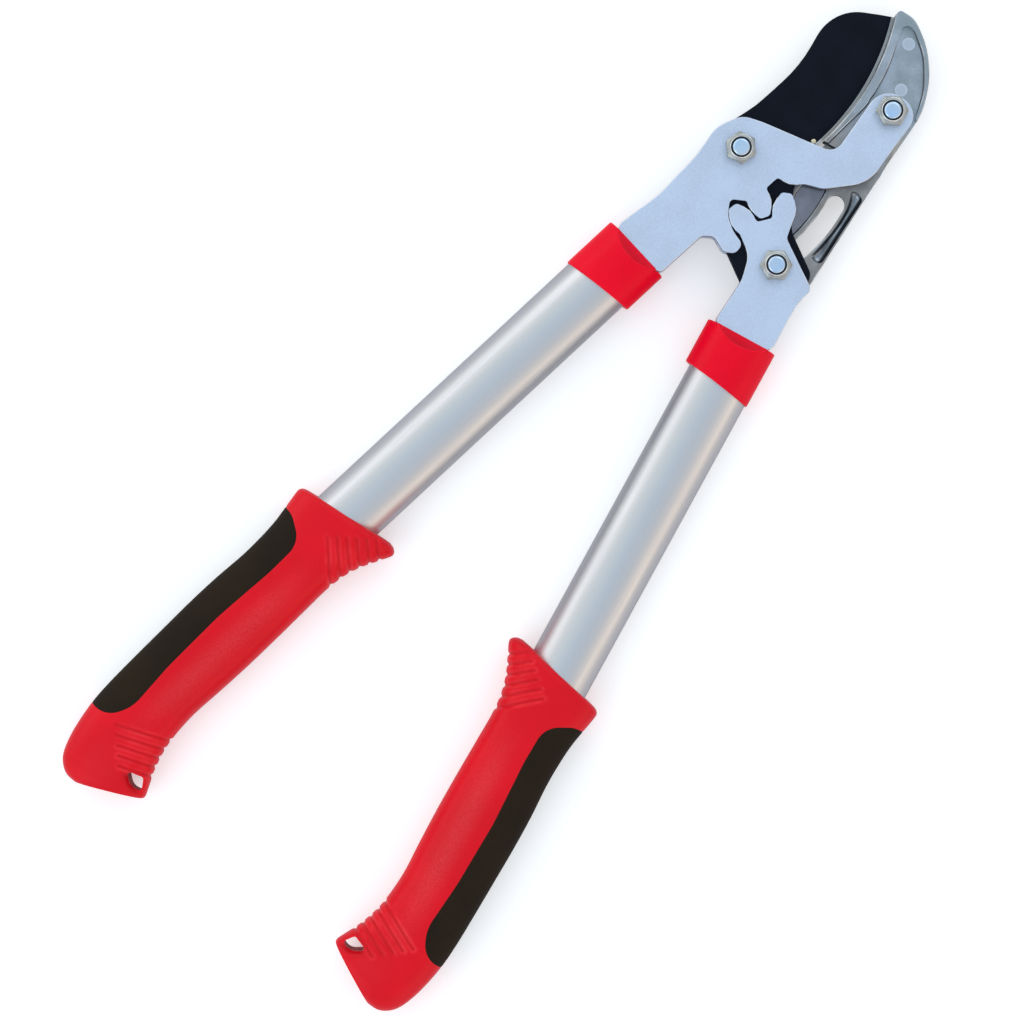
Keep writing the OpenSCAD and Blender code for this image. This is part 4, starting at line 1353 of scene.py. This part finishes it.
class LOPPER_OT_stage(Operator):
    """Sets the pale floor, the soft light and the camera over the tool"""

    bl_idname = "lopper.stage"
    bl_label = "Studio Stage"

    def execute(self, context):
        scene = context.scene
        stage = scene.lopper_stage
        scene.view_settings.view_transform = "Standard"
        self.floor(scene)
        self.sky(scene)
        centre = Vector((*stage.view_centre, 0.0))
        for softbox in SOFTBOXES:
            self.lamp(scene, centre, *softbox)
        data = bpy.data.cameras.new("photo_camera")
        data.sensor_width = SENSOR_WIDTH
        data.lens = SENSOR_WIDTH * stage.camera_height / stage.view_width
        data.clip_end = 20.0
        camera = bpy.data.objects.new("photo_camera", data)
        camera.location = centre + Vector((0, 0, HEAD_FRONT + stage.camera_height))
        camera.rotation_euler = (0.0, 0.0, stage.photo_turn)
        scene.collection.objects.link(camera)
        scene.camera = camera
        return {"FINISHED"}

    @staticmethod
    def lamp(scene, centre, name, away, size, power, colour):
        data = bpy.data.lights.new(name, "AREA")
        data.shape = "RECTANGLE"
        data.size, data.size_y = size
        data.energy = power
        data.color = colour
        thing = bpy.data.objects.new(name, data)
        thing.location = centre + Vector(away)
        thing.rotation_euler = (centre - thing.location).to_track_quat("-Z", "Y").to_euler()
        scene.collection.objects.link(thing)

    @staticmethod
    def floor(scene):
        bm = bmesh.new()
        place = Matrix.Translation((-0.2, 0, -0.0002))
        bmesh.ops.create_grid(bm, x_segments=8, y_segments=8, size=6.0, matrix=place)
        mesh = finished(bm, bpy.data.meshes.new("pale_floor"))
        coat(mesh, pale_floor())
        floor = bpy.data.objects.new("pale_floor", mesh)
        scene.collection.objects.link(floor)

    @staticmethod
    def sky(scene):
        """Shades from side to side over the tool, with a dim ground, and plain white to the camera."""
        scene.world = bpy.data.worlds.new("soft_sky")
        scene.world.use_nodes = True
        nodes = Nodes(scene.world.node_tree)
        nodes.tree.nodes.clear()
        _, y, z = nodes.parts(nodes.add("ShaderNodeTexCoord").outputs["Generated"])
        tilt = nodes.maths("DIVIDE", nodes.maths("ARCTAN2", y, z), math.pi)
        shades = nodes.add("ShaderNodeValToRGB", nodes.maths("ADD", tilt, 0.5))
        stops = shades.color_ramp.elements
        while len(stops) > 1:
            stops.remove(stops[-1])
        for i, (at, colour) in enumerate(SKY_SHADES):
            stop = stops[0] if i == 0 else stops.new(at)
            stop.position, stop.color = at, (*colour, 1)
        colour = nodes.tint(nodes.ramp(z, -0.12, 0.08), (0.30, 0.30, 0.36), shades.outputs[0])
        light = nodes.add("ShaderNodeBackground", colour, 1.0).outputs[0]
        white = nodes.add("ShaderNodeBackground", (1, 1, 1), 1.0).outputs[0]
        ray = nodes.add("ShaderNodeLightPath").outputs["Is Camera Ray"]
        seen = nodes.add("ShaderNodeMixShader", ray, light, white).outputs[0]
        nodes.add("ShaderNodeOutputWorld", seen)
        nodes.arrange()


class LOPPER_PT_build(Panel):
    """Lists the lopper's pieces and settings"""

    bl_label = "Anvil Lopper"
    bl_idname = "LOPPER_PT_build"
    bl_space_type = "VIEW_3D"
    bl_region_type = "UI"
    bl_category = "Lopper"

    def draw(self, context):
        layout = self.layout
        for operator in OPERATORS:
            layout.operator(operator.bl_idname)
        for label, owner in (
            ("Handles", context.scene.lopper_handle),
            ("Finishes", context.scene.lopper_finish),
            ("Stage", context.scene.lopper_stage),
        ):
            box = layout.box()
            box.label(text=label)
            for key in owner.__annotations__:
                box.prop(owner, key)


OPERATORS = (
    LOPPER_OT_blade,
    LOPPER_OT_anvil,
    LOPPER_OT_plates,
    LOPPER_OT_fasteners,
    LOPPER_OT_tubes,
    LOPPER_OT_collars,
    LOPPER_OT_grips,
    LOPPER_OT_stage,
)
CLASSES = (LopperHandleSizes, LopperFinishes, LopperStageSettings, *OPERATORS, LOPPER_PT_build)


def register():
    for cls in CLASSES:
        bpy.utils.register_class(cls)
    bpy.types.Scene.lopper_handle = PointerProperty(type=LopperHandleSizes)
    bpy.types.Scene.lopper_finish = PointerProperty(type=LopperFinishes)
    bpy.types.Scene.lopper_stage = PointerProperty(type=LopperStageSettings)


def unregister():
    del bpy.types.Scene.lopper_stage
    del bpy.types.Scene.lopper_finish
    del bpy.types.Scene.lopper_handle
    for cls in reversed(CLASSES):
        bpy.utils.unregister_class(cls)


def main():
    register()
    bpy.ops.lopper.blade()
    bpy.ops.lopper.anvil()
    bpy.ops.lopper.plates()
    bpy.ops.lopper.fasteners()
    bpy.ops.lopper.tubes()
    bpy.ops.lopper.collars()
    bpy.ops.lopper.grips()
    bpy.ops.lopper.stage()


if __name__ == "__main__":
    main()
